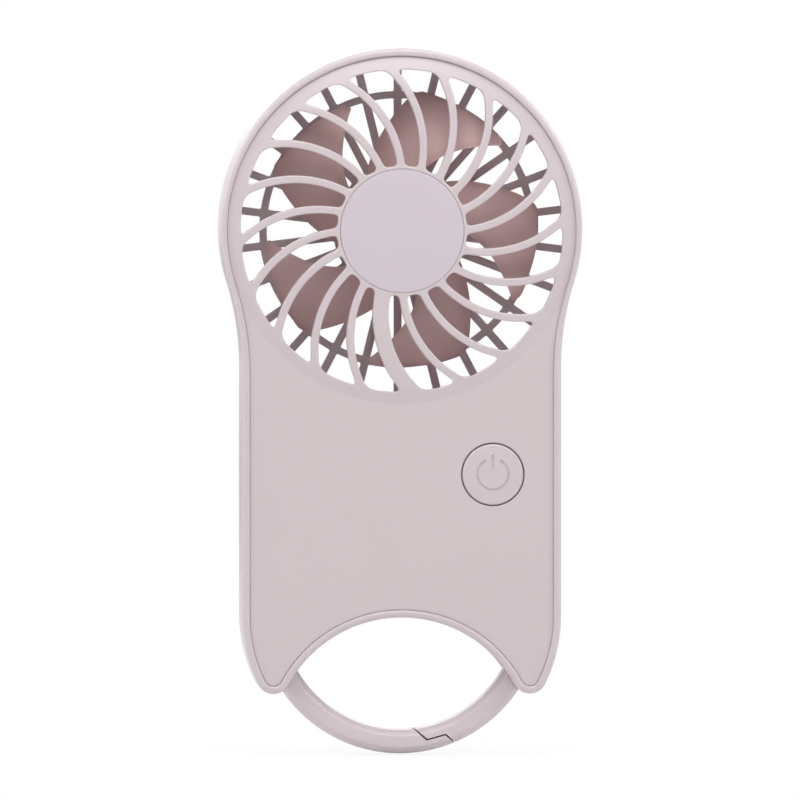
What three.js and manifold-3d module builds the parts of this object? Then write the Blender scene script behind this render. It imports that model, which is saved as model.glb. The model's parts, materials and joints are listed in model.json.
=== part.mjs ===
// Pocket fan with a clip hoop: a ducted fan in a round head, a flat body with
// a power button, and a hoop with a sprung gate. Lengths are in millimetres.
// X points right seen from the front, Y points to the back and Z points up.
// The flat back lies at Y = 0, and the origin is in the middle of the grip.
import * as THREE from 'three';
import { mergeVertices } from 'three/addons/utils/BufferGeometryUtils.js';
import Module from 'manifold-3d';

// Gaps between neighbouring pieces
const fitGap = 0.3;
const cutOverrun = 1;
const mergeDistance = 0.00001;

// Outline of the case, seen from the front
const headRadius = 38.5;
const headCentreZ = 66.2;
const outlineRise = 0.45;
const bodyHalfWidth = 33.95;
const neckFilletRadius = 60;
const legArcRadius = 32;
const legArcCentreZ = -16;
const legTipRadius = 3.6;
const archSideInset = 6.45;
const archTopZ = -16.1;

// Depth of the case, from the flat back to the front
const bodyDepth = 20;
const partingDepth = 10;
const rimHeight = 0.6;
const domeHeight = 2;
const wallThickness = 1.8;
const faceThickness = 1.6;
const backThickness = 1.6;
const backEdgeRadius = 1.6;
const partingChamfer = 0.25;
const rimFillet = 1;
const sideRimWidth = 1.55;
const archRimWidth = 1.6;
const recessTipRadius = 2;
const lipGap = 0.3;
const lipThickness = 0.8;
const lipHeight = 1.4;

// Front grille
const openingInset = 4.2;
const domeFlareWidth = 2.5;
const domeShoulderShare = 0.55;
const hubRingRadius = 13.8;
const ribCount = 20;
const ribArcRadius = 23.23;
const ribArcCentreX = -18.68;
const ribArcCentreZ = 17.8;
const ribWidth = 1.6;
const wideRibWidth = 3.35;
const wideRibIndex = 10;
const innerCornerRadius = 1.2;
const outerCornerRadius = 2.2;
const cornerShare = 0.42;
const badgeRadius = 13.05;
const badgeThickness = 0.7;
const badgeGap = 0.25;
const hubFloorThickness = 1.5;
const hubPocketRadius = 12.2;
const hubSkirtLength = 0.8;
const wireGrooveWidth = 2.3;
const wireGrooveDepth = 0.9;
const wireGrooveRunout = 3;

// Rear grille and air duct
const spokeCount = 26;
const spokeWidth = 1.7;
const rearRingInset = 5.5;
const rearRingWidth = 1.6;
const ductClearance = 1.25;
const ductThickness = 0.8;
const rearOpeningInset = 0.05;

// Motor, from the front to the back
const shaftRadius = 0.75;
const shaftLength = 11.9;
const bearingRadius = 2;
const bearingLength = 2;
const rearBearingSetback = 6.2;
const tubeThickness = 0.7;
const tubeLength = 8.7;
const collarThickness = 0.9;
const collarHeight = 1.8;
const motorBoardRadius = 11.4;
const motorBoardThickness = 0.8;
const statorRadius = 8;
const statorLength = 4;
const statorSetback = 3.1;
const statorHubThickness = 1;
const poleCount = 4;
const poleNeckWidth = 2.2;
const poleShoeThickness = 1.1;
const poleShoeHalfAngle = THREE.MathUtils.degToRad(33);
const coilThickness = 0.9;
const clipThickness = 0.35;
const clipSetback = 0.3;
const magnetThickness = 1.5;
const magnetLength = 5;
const airGap = 0.4;
const yokeThickness = 0.7;
const yokeLength = 7.3;

// Impeller
const tipClearance = 5.4;
const impellerWall = 1;
const impellerHubLength = 11.1;
const impellerCapThickness = 1.5;
const impellerSeatRadius = 6;
const shaftBossRadius = 1.9;
const shaftBossLength = 1.5;
const hubRunningGap = 0.6;
const bladeCount = 5;
const bladeThickness = 1.1;
const bladeDepth = 9;
const bladeRearInset = 0.4;
const bladeCrown = 0.9;
const bladeRootDepth = 0.38;

// Blade edges: clockwise angle from straight up, and share of the way from the root to the tip
const leadingEdgeShares = [
  [38, 0], [41.9, 0.097], [54.4, 0.329], [66.2, 0.605], [77.5, 0.926], [81.6, 0.99],
];
const trailingEdgeShares = [
  [90.5, 0], [92.5, 0.097], [100.6, 0.316], [106.2, 0.457], [113.8, 0.648], [122, 0.885],
];
const tipEdgeShares = [
  [81.6, 0.99], [87.5, 0.975], [96.2, 0.959], [108.8, 0.942], [118.5, 0.947], [122, 0.885],
];

// Power button and its switch
const buttonSideInset = 14.55;
const buttonZ = 14.35;
const buttonRadius = 6.5;
const buttonStand = 0.1;
const buttonFlangeWidth = 0.9;
const buttonFlangeThickness = 1;
const buttonStemRadius = 1.6;
const buttonStemLength = 2;
const symbolRadius = 3.3;
const symbolStroke = 0.5;
const symbolDepth = 0.25;
const symbolOpenAngle = THREE.MathUtils.degToRad(32);
const symbolBarStart = 1.15;
const symbolBarEnd = 4.15;
const plungerRadius = 1.6;
const plungerStand = 1.2;
const plungerReach = 0.7;
const switchWidth = 6;
const switchHeight = 3;
const switchBoreDepth = 1.6;

// Control board, charging port and lamp
const boardThickness = 1;
const boardSideInset = 5.8;
const boardWidth = 34.5;
const boardBottomZ = -3;
const boardDuctGap = 5.6;
const boardCornerRadius = 1.5;
const portWidth = 8.94;
const portHeight = 3.2;
const portLength = 7.3;
const portCornerRadius = 1.1;
const portShell = 0.35;
const portTongueThickness = 0.7;
const portTongueWidth = 6.7;
const portTongueLength = 5;
const portBackLength = 1.2;
const portZ = 3;
const portSetback = 0.4;
const lampZ = 13;
const lampRadius = 1;
const lampFootLength = 3;
const lampFootWidth = 3;
const lampFootHeight = 2.6;
const lampSetback = 0.1;

// Battery
const cellLeftInset = 7.8;
const cellRightInset = 11.8;
const cellBottomZ = -8;
const cellTopInset = 0.5;
const cellBoardGap = 1.4;
const cellCornerRadius = 3;
const padThickness = 0.6;
const padInset = 2;
const cellRibThickness = 1;
const cellRibHeight = 3;
const cellRibLength = 16;

// Wires
const powerWireRadius = 0.5;
const motorWireRadius = 0.35;
const motorWireSpacing = 1;
const powerWireInset = 17.4;
const powerWireSpacing = 3.5;
const wireSides = 6;

// Screws
const screwSideInset = 5.9;
const screwUpperZ = 33;
const screwShankRadius = 0.9;
const screwLength = 15;
const screwHeadRadius = 2.1;
const screwHeadHeight = 1.3;
const screwSlotWidth = 0.6;
const screwSlotDepth = 0.5;
const screwBossRadius = 2.6;
const boardScrewShankRadius = 0.7;
const boardScrewHeadRadius = 1.6;
const boardScrewHeadHeight = 0.8;
const boardScrewLength = 5;
const boardPostRadius = 2.2;
const boardScrewInset = 4;

// Hoop, gate, pin and spring; hoop angles are taken from straight down towards +X
const hoopCentreZ = -15;
const hoopSideInset = 6.15;
const hoopHalfWidth = 2.55;
const hoopDepth = 8;
const hoopChamfer = 1.3;
const hoopEyeAngle = THREE.MathUtils.degToRad(-95);
const hoopEyeInset = 1.25;
const hoopEyeRadius = 4.2;
const hoopSlotNearAngle = THREE.MathUtils.degToRad(48);
const hoopSlotFarAngle = THREE.MathUtils.degToRad(76);
const jointInnerAngle = THREE.MathUtils.degToRad(6.8);
const jointTongueStart = THREE.MathUtils.degToRad(11.7);
const jointTongueEnd = THREE.MathUtils.degToRad(20.2);
const jointOuterAngle = THREE.MathUtils.degToRad(22.6);
const jointTongueShift = 0.2;
const gatePivotAngle = THREE.MathUtils.degToRad(69.5);
const gateOpenAngle = THREE.MathUtils.degToRad(32);
const gateSweepSteps = 6;
const pinRadius = 1;
const pinEndCover = 1.8;
const pinBossRadius = 2.3;
const springCoilRadius = 2.2;
const springWireRadius = 0.25;
const springTurns = 2;
const springTurnSteps = 8;
const springRoom = 2.6;
const springGateLeg = 3;
const springCaseLeg = 4.9;

// Steps on round shapes
const headArcSteps = 32;
const archArcSteps = 10;
const smallArcSteps = 4;
const ringSteps = 40;
const holeSteps = 12;
const bladeSteps = 6;
const cornerSteps = 2;
const wireSteps = 16;

// Sizes in the case's plane, worked out from its width and its head
const archRadius = bodyHalfWidth - archSideInset;
const openingRadius = headRadius - openingInset;
const domeRadius = openingRadius + domeFlareWidth;
const rearRingRadius = openingRadius - rearRingInset;
const ductRadius = openingRadius + ductClearance;
const rearOpeningRadius = ductRadius - rearOpeningInset;
const impellerRadius = ductRadius - tipClearance;
const buttonX = bodyHalfWidth - buttonSideInset;
const boardRightX = bodyHalfWidth - boardSideInset;
const boardLeftX = boardRightX - boardWidth;
const boardTopZ = headCentreZ - ductRadius - ductThickness - boardDuctGap;
const powerWireX = boardRightX - powerWireInset;
const cellLeftX = cellLeftInset - bodyHalfWidth;
const cellRightX = bodyHalfWidth - cellRightInset;
const cellTopZ = boardTopZ - cellTopInset;
const cellMiddleX = (cellLeftX + cellRightX) / 2;
const cellMiddleZ = (cellBottomZ + cellTopZ) / 2;
const screwUpperX = bodyHalfWidth - screwSideInset;
const hoopRadius = bodyHalfWidth - hoopSideInset;
const jointTongueRadius = hoopRadius + jointTongueShift;
const buttonHoleRadius = buttonRadius + fitGap;
const buttonFlangeRadius = buttonHoleRadius + buttonFlangeWidth;

// Places worked out from the sizes above
const faceY = -bodyDepth;
const rimY = faceY - rimHeight;
const hubFrontY = faceY - domeHeight;
const frontInnerY = faceY + faceThickness;
const backInnerY = -backThickness;
const frontEdgeY = -partingDepth - fitGap / 2;
const rearEdgeY = -partingDepth + fitGap / 2;
const badgeSeatY = hubFrontY + badgeThickness;
const pocketFloorY = badgeSeatY + hubFloorThickness;
const tubeFrontY = pocketFloorY + fitGap;
const tubeRearY = tubeFrontY + tubeLength;
const tubeInnerRadius = bearingRadius + fitGap;
const tubeOuterRadius = tubeInnerRadius + tubeThickness;
const collarInnerRadius = tubeOuterRadius + fitGap;
const collarOuterRadius = collarInnerRadius + collarThickness;
const statorFrontY = tubeFrontY + statorSetback;
const statorRearY = statorFrontY + statorLength;
const magnetInnerRadius = statorRadius + airGap;
const magnetOuterRadius = magnetInnerRadius + magnetThickness;
const yokeInnerRadius = magnetOuterRadius + fitGap;
const yokeOuterRadius = yokeInnerRadius + yokeThickness;
const hubInnerRadius = yokeOuterRadius + fitGap;
const hubOuterRadius = hubInnerRadius + impellerWall;
const skirtEndY = frontInnerY + hubSkirtLength;
const hubRimY = skirtEndY + hubRunningGap;
const hubRearY = hubRimY + impellerHubLength;
const yokeRearInnerY = tubeRearY + fitGap;
const yokeRearY = yokeRearInnerY + yokeThickness;
const impellerSeatY = yokeRearY + fitGap;
const bladeRearY = hubRearY - bladeRearInset;
const buttonFrontY = faceY - buttonStand;
const buttonFlangeFrontY = frontInnerY + fitGap;
const buttonFlangeRearY = buttonFlangeFrontY + buttonFlangeThickness;
const plungerFrontY = buttonFlangeRearY + buttonStemLength + fitGap;
const switchFrontY = plungerFrontY + plungerStand;
const plungerRearY = switchFrontY + plungerReach;
const switchRearY = switchFrontY + switchHeight;
const boardFrontY = switchRearY + fitGap;
const boardRearY = boardFrontY + boardThickness;
const padFrontY = backInnerY - fitGap - padThickness;
const cellRearY = padFrontY - fitGap;
const cellFrontY = boardRearY + cellBoardGap;
const hoopFrontY = -partingDepth - hoopDepth / 2;
const hoopRearY = -partingDepth + hoopDepth / 2;
const hoopInnerRadius = hoopRadius - hoopHalfWidth;
const hoopOuterRadius = hoopRadius + hoopHalfWidth;
const pivot = hoopPoint(hoopRadius, gatePivotAngle);
const hoopEye = hoopPoint(hoopRadius - hoopEyeInset, hoopEyeAngle);
const gateHubRearY = hoopRearY - springRoom;
const springRecessRadius = Math.hypot(springCoilRadius, springGateLeg) + springWireRadius + fitGap;

const wasm = await Module();
wasm.setup();

// Shapes

/** A point of the hoop at a radius and an angle from straight down. */
function hoopPoint(radius, angle) {
  return new THREE.Vector2(radius * Math.sin(angle), hoopCentreZ - radius * Math.cos(angle));
}

/** Points along a circle's arc, both ends included. */
function arc(x, z, radius, start, end, steps) {
  const points = [];
  for (let i = 0; i <= steps; i += 1) {
    const angle = start + (end - start) * i / steps;
    points.push(new THREE.Vector2(x + radius * Math.cos(angle), z + radius * Math.sin(angle)));
  }
  return points;
}

/**
 * The case's outline, drawn in by one width along its sides and another along its arch. Its head
 * stands a little above the fan's axis.
 */
function caseOutline(
  sideInset, archInset = sideInset, tipRadius = legTipRadius - sideInset, rise = outlineRise,
) {
  const headZ = headCentreZ + rise;
  const neckX = bodyHalfWidth + neckFilletRadius;
  const neckReach = headRadius + neckFilletRadius;
  const neckDrop = Math.sqrt(neckReach ** 2 - neckX ** 2);
  const neckAngle = Math.atan2(neckDrop, neckX);
  const neckZ = headZ - neckDrop;
  const legX = bodyHalfWidth - legArcRadius;
  const archZ = archTopZ - archRadius;
  const toLeg = legArcRadius - sideInset - tipRadius;
  const toArch = archRadius + archInset + tipRadius;
  const apartX = legX;
  const apartZ = legArcCentreZ - archZ;
  const apart = Math.hypot(apartX, apartZ);
  const along = (toArch ** 2 - toLeg ** 2 + apart ** 2) / (2 * apart);
  const aside = Math.sqrt(toArch ** 2 - along ** 2);
  const tipX = (along * apartX + aside * apartZ) / apart;
  const tipZ = archZ + (along * apartZ - aside * apartX) / apart;
  const legEnd = Math.atan2(tipZ - legArcCentreZ, tipX - legX);
  const archEnd = Math.atan2(tipZ - archZ, tipX);
  const right = [
    ...arc(0, archZ, archRadius + archInset, Math.PI / 2, archEnd, archArcSteps / 2),
    ...arc(tipX, tipZ, tipRadius, archEnd - Math.PI, legEnd, smallArcSteps).slice(1),
    ...arc(legX, legArcCentreZ, legArcRadius - sideInset, legEnd, 0, smallArcSteps).slice(1),
    ...arc(neckX, neckZ, neckFilletRadius + sideInset, Math.PI, Math.PI - neckAngle, smallArcSteps),
    ...arc(0, headZ, headRadius - sideInset, -neckAngle, Math.PI / 2, headArcSteps / 2).slice(1),
  ];
  const left = right.slice(1, -1).reverse().map((point) => new THREE.Vector2(-point.x, point.y));
  return [...right, ...left];
}

/** A rectangle with round corners. */
function roundedRectangle(x, z, width, height, radius) {
  const halfX = width / 2 - radius;
  const halfZ = height / 2 - radius;
  const points = [];
  for (const [sideX, sideZ, start] of [[1, 1, 0], [-1, 1, 1], [-1, -1, 2], [1, -1, 3]]) {
    const from = start * Math.PI / 2;
    const to = from + Math.PI / 2;
    points.push(...arc(x + sideX * halfX, z + sideZ * halfZ, radius, from, to, smallArcSteps));
  }
  return points;
}

/** A stack of outlines of equal point counts, closed at both ends. */
function loft(layers) {
  const count = layers[0].outline.length;
  const positions = layers.flatMap(({ y, outline }) => outline.flatMap((point) => [point.x, y, point.y]));
  const index = [];
  for (let k = 0; k < layers.length - 1; k += 1) {
    for (let i = 0; i < count; i += 1) {
      const next = (i + 1) % count;
      const a = k * count + i;
      const b = k * count + next;
      index.push(a, b, b + count, a, b + count, a + count);
    }
  }
  const first = THREE.ShapeUtils.triangulateShape(layers[0].outline, []);
  const last = THREE.ShapeUtils.triangulateShape(layers.at(-1).outline, []);
  const offset = (layers.length - 1) * count;
  const clockwise = isClockwise(layers[0].outline);
  for (const [a, b, c] of first) index.push(...(clockwise ? [a, b, c] : [a, c, b]));
  for (const [a, b, c] of last) {
    index.push(...(clockwise ? [offset + a, offset + c, offset + b] : [offset + a, offset + b, offset + c]));
  }
  const geometry = new THREE.BufferGeometry();
  geometry.setAttribute('position', new THREE.Float32BufferAttribute(positions, 3));
  geometry.setIndex(index);
  return solid(geometry);
}

/** True where the triangulator turns an outline's points round. */
function isClockwise(outline) {
  return THREE.ShapeUtils.isClockWise(outline);
}

/** A closed three.js geometry as a solid with its faces pointing out. */
function solid(geometry) {
  const bare = new THREE.BufferGeometry();
  bare.setAttribute('position', geometry.getAttribute('position'));
  bare.setIndex(geometry.index);
  const merged = mergeVertices(bare, mergeDistance);
  const place = merged.getAttribute('position').array;
  const corners = merged.index.array;
  const triangles = [];
  for (let i = 0; i < corners.length; i += 3) {
    const [a, b, c] = corners.slice(i, i + 3);
    if (a !== b && b !== c && c !== a) triangles.push([a, b, c]);
  }
  const at = (i) => new THREE.Vector3().fromArray(place, 3 * i);
  const volume = triangles.reduce((sum, [a, b, c]) => sum + at(a).dot(at(b).cross(at(c))), 0);
  const outward = volume > 0 ? triangles : triangles.map(([a, b, c]) => [a, c, b]);
  const vertProperties = new Float32Array(place);
  const triVerts = new Uint32Array(outward.flat());
  return new wasm.Manifold(new wasm.Mesh({ numProp: 3, vertProperties, triVerts }));
}

/** An outline in the XZ plane, given depth from one Y to another. */
function prism(outline, rearY, frontY) {
  const shape = new THREE.Shape(outline);
  const depth = rearY - frontY;
  const geometry = new THREE.ExtrudeGeometry(shape, { depth, bevelEnabled: false });
  return solid(geometry.rotateX(Math.PI / 2).translate(0, rearY, 0));
}

/** A round bar along Y. */
function bar(x, z, radius, rearY, frontY, steps = holeSteps) {
  const geometry = new THREE.CylinderGeometry(radius, radius, rearY - frontY, steps);
  return solid(geometry.translate(x, (rearY + frontY) / 2, z));
}

/** A tube along Y. */
function sleeve(x, z, outer, inner, rearY, frontY, steps = holeSteps) {
  const bore = bar(x, z, inner, rearY + cutOverrun, frontY - cutOverrun, steps);
  return bar(x, z, outer, rearY, frontY, steps).subtract(bore);
}

/** A box from its low and high corners. */
function block(lowX, highX, lowY, highY, lowZ, highZ) {
  const geometry = new THREE.BoxGeometry(highX - lowX, highY - lowY, highZ - lowZ);
  return solid(geometry.translate((lowX + highX) / 2, (lowY + highY) / 2, (lowZ + highZ) / 2));
}

/** A profile of radius and Y, turned round a Y axis at x, z. */
function turned(profile, x, z, steps = ringSteps) {
  const points = profile.map(([radius, y]) => new THREE.Vector2(radius, y));
  return solid(new THREE.LatheGeometry(points, steps).translate(x, 0, z));
}

/** A round bar bent along points. */
function wire(points, radius, steps, sides = wireSides) {
  const section = new THREE.Shape(arc(0, 0, radius, 0, 2 * Math.PI, sides).slice(0, -1));
  const extrudePath = new THREE.CatmullRomCurve3(points);
  return solid(new THREE.ExtrudeGeometry(section, { steps, extrudePath, bevelEnabled: false }));
}

/** A part of a ring between two radii and two angles, as an outline. */
function ringSector(x, z, inner, outer, start, end, steps) {
  return [...arc(x, z, outer, start, end, steps), ...arc(x, z, inner, end, start, steps)];
}

/** All solids of a list joined into one. */
function joined(solids) {
  return solids.reduce((sum, next) => sum.add(next));
}

// Finishes

/** A plain material from its colour, roughness and metalness. */
function finish(color, roughness, metalness = 0) {
  return new THREE.MeshStandardMaterial({ color, roughness, metalness });
}

const casePlastic = finish('#cbbec1', 0.42);
const badgePlastic = finish('#cfc3cc', 0.5);
const clipPlastic = finish('#c9bcbf', 0.38);
const steel = finish('#b9babd', 0.3, 1);
const brass = finish('#c9a860', 0.35, 1);
const copper = finish('#b5693a', 0.4, 1);
const ferrite = finish('#3a3a3d', 0.6);
const laminate = finish('#8e9095', 0.45, 1);
const boardGreen = finish('#2f6b46', 0.5);
const blackPlastic = finish('#26262a', 0.5);
const foam = finish('#57565a', 0.9);
const foil = finish('#c7c9cd', 0.35, 0.6);
const redWire = finish('#b3262b', 0.45);
const blackWire = finish('#222226', 0.45);
const lens = finish('#e9ecef', 0.2);

const fan = new THREE.Group();
const head = new THREE.Group();
head.position.set(0, 0, headCentreZ);
fan.add(head);

/** One named piece in a group, from its solid. */
function piece(group, name, body, material) {
  const { vertProperties, triVerts } = body.getMesh();
  const geometry = new THREE.BufferGeometry();
  geometry.setAttribute('position', new THREE.BufferAttribute(vertProperties, 3));
  geometry.setIndex(new THREE.BufferAttribute(triVerts, 1));
  geometry.computeVertexNormals();
  const mesh = new THREE.Mesh(geometry, material);
  mesh.name = name;
  group.add(mesh);
}

// Screws: two hold the legs and two the neck; the lower left one passes through the hoop's eye
const caseScrews = [
  new THREE.Vector2(hoopEye.x, hoopEye.y),
  new THREE.Vector2(-hoopEye.x, hoopEye.y),
  new THREE.Vector2(-screwUpperX, screwUpperZ),
  new THREE.Vector2(screwUpperX, screwUpperZ),
];
const boardScrews = [
  new THREE.Vector2(boardLeftX + boardScrewInset, boardTopZ - boardScrewInset),
  new THREE.Vector2(buttonX - boardScrewInset, boardBottomZ + boardScrewInset),
];
const screwHeadY = -fitGap;
const screwSinkY = screwHeadY - screwHeadHeight - fitGap;

// Hoop and gate

/** The hoop as one whole ring with its chamfered section. */
function wholeHoop() {
  const inner = hoopInnerRadius;
  const outer = hoopOuterRadius;
  const front = hoopFrontY;
  const rear = hoopRearY;
  return turned([
    [inner, rear - hoopChamfer], [inner, front + hoopChamfer],
    [inner + hoopChamfer, front], [outer - hoopChamfer, front],
    [outer, front + hoopChamfer], [outer, rear - hoopChamfer],
    [outer - hoopChamfer, rear], [inner + hoopChamfer, rear], [inner, rear - hoopChamfer],
  ], 0, hoopCentreZ, 2 * ringSteps);
}

/** The Z-shaped cut, moved to one side by half the gap: side is -1 for the hoop, 1 for the gate. */
function jointLine(side) {
  const turn = side * fitGap / 2 / hoopRadius;
  const tongueRadius = jointTongueRadius - side * fitGap / 2;
  return [
    hoopPoint(0, 0),
    hoopPoint(hoopInnerRadius - hoopChamfer, jointInnerAngle + turn),
    hoopPoint(hoopInnerRadius, jointInnerAngle + turn),
    hoopPoint(tongueRadius, jointTongueStart + turn),
    hoopPoint(tongueRadius, jointTongueEnd + turn),
    hoopPoint(hoopOuterRadius, jointOuterAngle + turn),
    hoopPoint(hoopOuterRadius + cutOverrun, jointOuterAngle + turn),
  ];
}

/** A pie slice of the hoop's plane from the Z cut to an angle. */
function hoopSlice(side, endAngle) {
  const line = jointLine(side);
  const reach = 2 * hoopOuterRadius;
  const far = [];
  for (let i = 0; i <= smallArcSteps; i += 1) {
    far.push(hoopPoint(reach, jointOuterAngle + (endAngle - jointOuterAngle) * i / smallArcSteps));
  }
  return prism([...line, ...far], hoopRearY + cutOverrun, hoopFrontY - cutOverrun);
}

/** The outline that the gate's root takes up near its pivot, with clearance, turned by an angle. */
function gateRoom(turn) {
  const inner = hoopInnerRadius - fitGap;
  const outer = hoopOuterRadius + fitGap;
  const toAngle = (fromDown) => fromDown - Math.PI / 2;
  const start = toAngle(hoopSlotNearAngle);
  const end = toAngle(gatePivotAngle);
  const outline = ringSector(0, hoopCentreZ, inner, outer, start, end, smallArcSteps);
  return outline.map((point) => point.clone().rotateAround(pivot, -turn));
}

/** The slot in the case's right leg that the gate's root swings through. */
function gateSlot() {
  const rear = hoopRearY + fitGap;
  const front = hoopFrontY - fitGap;
  const rooms = [bar(pivot.x, pivot.y, hoopHalfWidth + fitGap, rear, front)];
  for (let i = 0; i <= gateSweepSteps; i += 1) {
    rooms.push(prism(gateRoom(gateOpenAngle * i / gateSweepSteps), rear, front));
  }
  return joined(rooms);
}

/** The slot in the case's left leg that the fixed end of the hoop sits in. */
function hoopSlot() {
  const toAngle = (fromDown) => -fromDown - Math.PI / 2;
  const outline = ringSector(
    0, hoopCentreZ, hoopInnerRadius - fitGap, hoopOuterRadius + fitGap,
    toAngle(hoopSlotFarAngle), toAngle(hoopSlotNearAngle), smallArcSteps,
  );
  return prism(outline, hoopRearY + fitGap, hoopFrontY - fitGap);
}

const hoopRing = wholeHoop();
const eyeBore = bar(hoopEye.x, hoopEye.y, screwBossRadius + fitGap, 0, -bodyDepth);
piece(
  fan, 'clip_hoop',
  hoopRing.intersect(hoopSlice(-1, hoopEyeAngle))
    .add(bar(hoopEye.x, hoopEye.y, hoopEyeRadius, hoopRearY, hoopFrontY))
    .subtract(eyeBore),
  clipPlastic,
);
piece(
  fan, 'clip_gate',
  hoopRing.intersect(hoopSlice(1, gatePivotAngle))
    .add(bar(pivot.x, pivot.y, hoopHalfWidth, hoopRearY, hoopFrontY))
    .subtract(bar(pivot.x, pivot.y, springRecessRadius, hoopRearY + cutOverrun, gateHubRearY))
    .subtract(bar(pivot.x, pivot.y, pinRadius + fitGap, 0, -bodyDepth)),
  clipPlastic,
);
const pinFrontY = frontInnerY + pinEndCover;
const pinRearY = backInnerY - pinEndCover;
piece(fan, 'gate_pin', bar(pivot.x, pivot.y, pinRadius, pinRearY, pinFrontY), steel);

/** The torsion spring round the pin, with a leg along the gate and a leg to the case's wall. */
function gateSpring() {
  const frontY = gateHubRearY + fitGap + springWireRadius;
  const rearY = hoopRearY - springWireRadius;
  const nearGate = hoopPoint(hoopRadius, hoopSlotNearAngle);
  const gateAngle = Math.atan2(nearGate.y - pivot.y, nearGate.x - pivot.x);
  const start = gateAngle - Math.PI / 2;
  const rest = THREE.MathUtils.euclideanModulo(start - Math.PI / 2, 2 * Math.PI);
  const sweep = 2 * Math.PI * springTurns + rest;
  const at = (angle, forward, y) => new THREE.Vector3(
    pivot.x + springCoilRadius * Math.cos(angle) + forward * Math.sin(angle), y,
    pivot.y + springCoilRadius * Math.sin(angle) - forward * Math.cos(angle),
  );
  const points = [at(start, -springGateLeg, frontY)];
  const steps = springTurnSteps * springTurns;
  for (let i = 0; i <= steps; i += 1) {
    points.push(at(start - sweep * i / steps, 0, frontY + (rearY - frontY) * i / steps));
  }
  points.push(at(start - sweep, springCaseLeg, rearY));
  return wire(points, springWireRadius, 2 * points.length, wireSides - 1);
}

piece(fan, 'gate_spring', gateSpring(), steel);

// Front cover

/** Angle of a rib's edge at a radius; offset is the edge's distance from the rib's middle line. */
function ribAngle(radius, offset, index) {
  const reach = Math.hypot(ribArcCentreX, ribArcCentreZ);
  const edge = ribArcRadius + offset;
  const cosine = (radius ** 2 + reach ** 2 - edge ** 2) / (2 * radius * reach);
  const towards = Math.atan2(ribArcCentreZ, ribArcCentreX);
  return towards - Math.acos(cosine) + index * 2 * Math.PI / ribCount;
}

/** Half the width of a rib. */
function ribHalfWidth(index) {
  return (index % ribCount === wideRibIndex ? wideRibWidth : ribWidth) / 2;
}

/** The opening between a rib and the next one, with rounded corners. */
function grilleOpening(index) {
  const inner = hubRingRadius;
  const outer = openingRadius;
  const at = (radius, angle) => new THREE.Vector2(
    radius * Math.cos(angle), headCentreZ + radius * Math.sin(angle),
  );
  const near = (radius) => ribAngle(radius, -ribHalfWidth(index), index);
  const far = (radius) => ribAngle(radius, ribHalfWidth(index + 1), index + 1);
  const from = inner + innerCornerRadius;
  const to = outer - outerCornerRadius;
  const shape = new THREE.Shape();
  const start = at(from, near(from));
  shape.moveTo(start.x, start.y);
  const lineTo = (point) => shape.lineTo(point.x, point.y);
  const bendTo = (corner, point) => shape.quadraticCurveTo(corner.x, corner.y, point.x, point.y);
  for (let i = 1; i <= smallArcSteps; i += 1) {
    const radius = from + (to - from) * i / smallArcSteps;
    lineTo(at(radius, near(radius)));
  }
  const outerTrim = Math.min(outerCornerRadius / outer, cornerShare * (far(outer) - near(outer)));
  bendTo(at(outer, near(outer)), at(outer, near(outer) + outerTrim));
  lineTo(at(outer, (near(outer) + far(outer)) / 2));
  lineTo(at(outer, far(outer) - outerTrim));
  bendTo(at(outer, far(outer)), at(to, far(to)));
  for (let i = 1; i <= smallArcSteps; i += 1) {
    const radius = to + (from - to) * i / smallArcSteps;
    lineTo(at(radius, far(radius)));
  }
  const innerTrim = Math.min(innerCornerRadius / inner, cornerShare * (far(inner) - near(inner)));
  bendTo(at(inner, far(inner)), at(inner, far(inner) - innerTrim));
  lineTo(at(inner, near(inner) + innerTrim));
  bendTo(at(inner, near(inner)), start);
  return shape.getPoints(cornerSteps);
}

/** The domed grille plate before its openings are cut. */
function grilleDome() {
  const shoulderY = faceY - domeHeight * domeShoulderShare;
  return turned([
    [0, frontInnerY], [domeRadius, frontInnerY], [domeRadius, faceY], [openingRadius, shoulderY],
    [hubRingRadius, hubFrontY], [0, hubFrontY],
  ], 0, headCentreZ);
}

/** The groove in the back of the wide rib, for the motor's wires. */
function wireGroove() {
  const centreAngle = wideRibIndex * 2 * Math.PI / ribCount;
  const axis = new THREE.Vector2();
  const centre = new THREE.Vector2(ribArcCentreX, ribArcCentreZ).rotateAround(axis, centreAngle);
  const inner = ribArcRadius - wireGrooveWidth / 2;
  const outer = ribArcRadius + wireGrooveWidth / 2;
  const angleAt = (radius) => {
    const angle = ribAngle(radius, 0, wideRibIndex);
    return Math.atan2(radius * Math.sin(angle) - centre.y, radius * Math.cos(angle) - centre.x);
  };
  const start = angleAt(hubPocketRadius - fitGap);
  const sweep = THREE.MathUtils.euclideanModulo(angleAt(domeRadius + wireGrooveRunout) - start, 2 * Math.PI);
  const outline = ringSector(
    centre.x, headCentreZ + centre.y, inner, outer, start, start + sweep, 2 * smallArcSteps,
  );
  return prism(outline, skirtEndY + cutOverrun, frontInnerY - wireGrooveDepth);
}

/** An outline of Y and Z, given length along X from one X to another. */
function sidePrism(width, height, radius, y, z, lowX, highX) {
  const outline = roundedRectangle(0, 0, width, height, radius);
  const depth = highX - lowX;
  const geometry = new THREE.ExtrudeGeometry(new THREE.Shape(outline), { depth, bevelEnabled: false });
  return solid(geometry.rotateY(Math.PI / 2).rotateX(Math.PI / 2).translate(lowX, y, z));
}

// Charging port, lamp and control board places
const portFrontY = boardFrontY - fitGap - portHeight;
const portMiddleY = (boardFrontY - fitGap + portFrontY) / 2;
const portRightX = bodyHalfWidth - portSetback;
const portLeftX = portRightX - portLength;
const lampY = boardFrontY - fitGap - lampFootHeight / 2;
const lampRightX = bodyHalfWidth - lampSetback;
const lampFootLeftX = boardRightX - lampFootLength;

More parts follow.
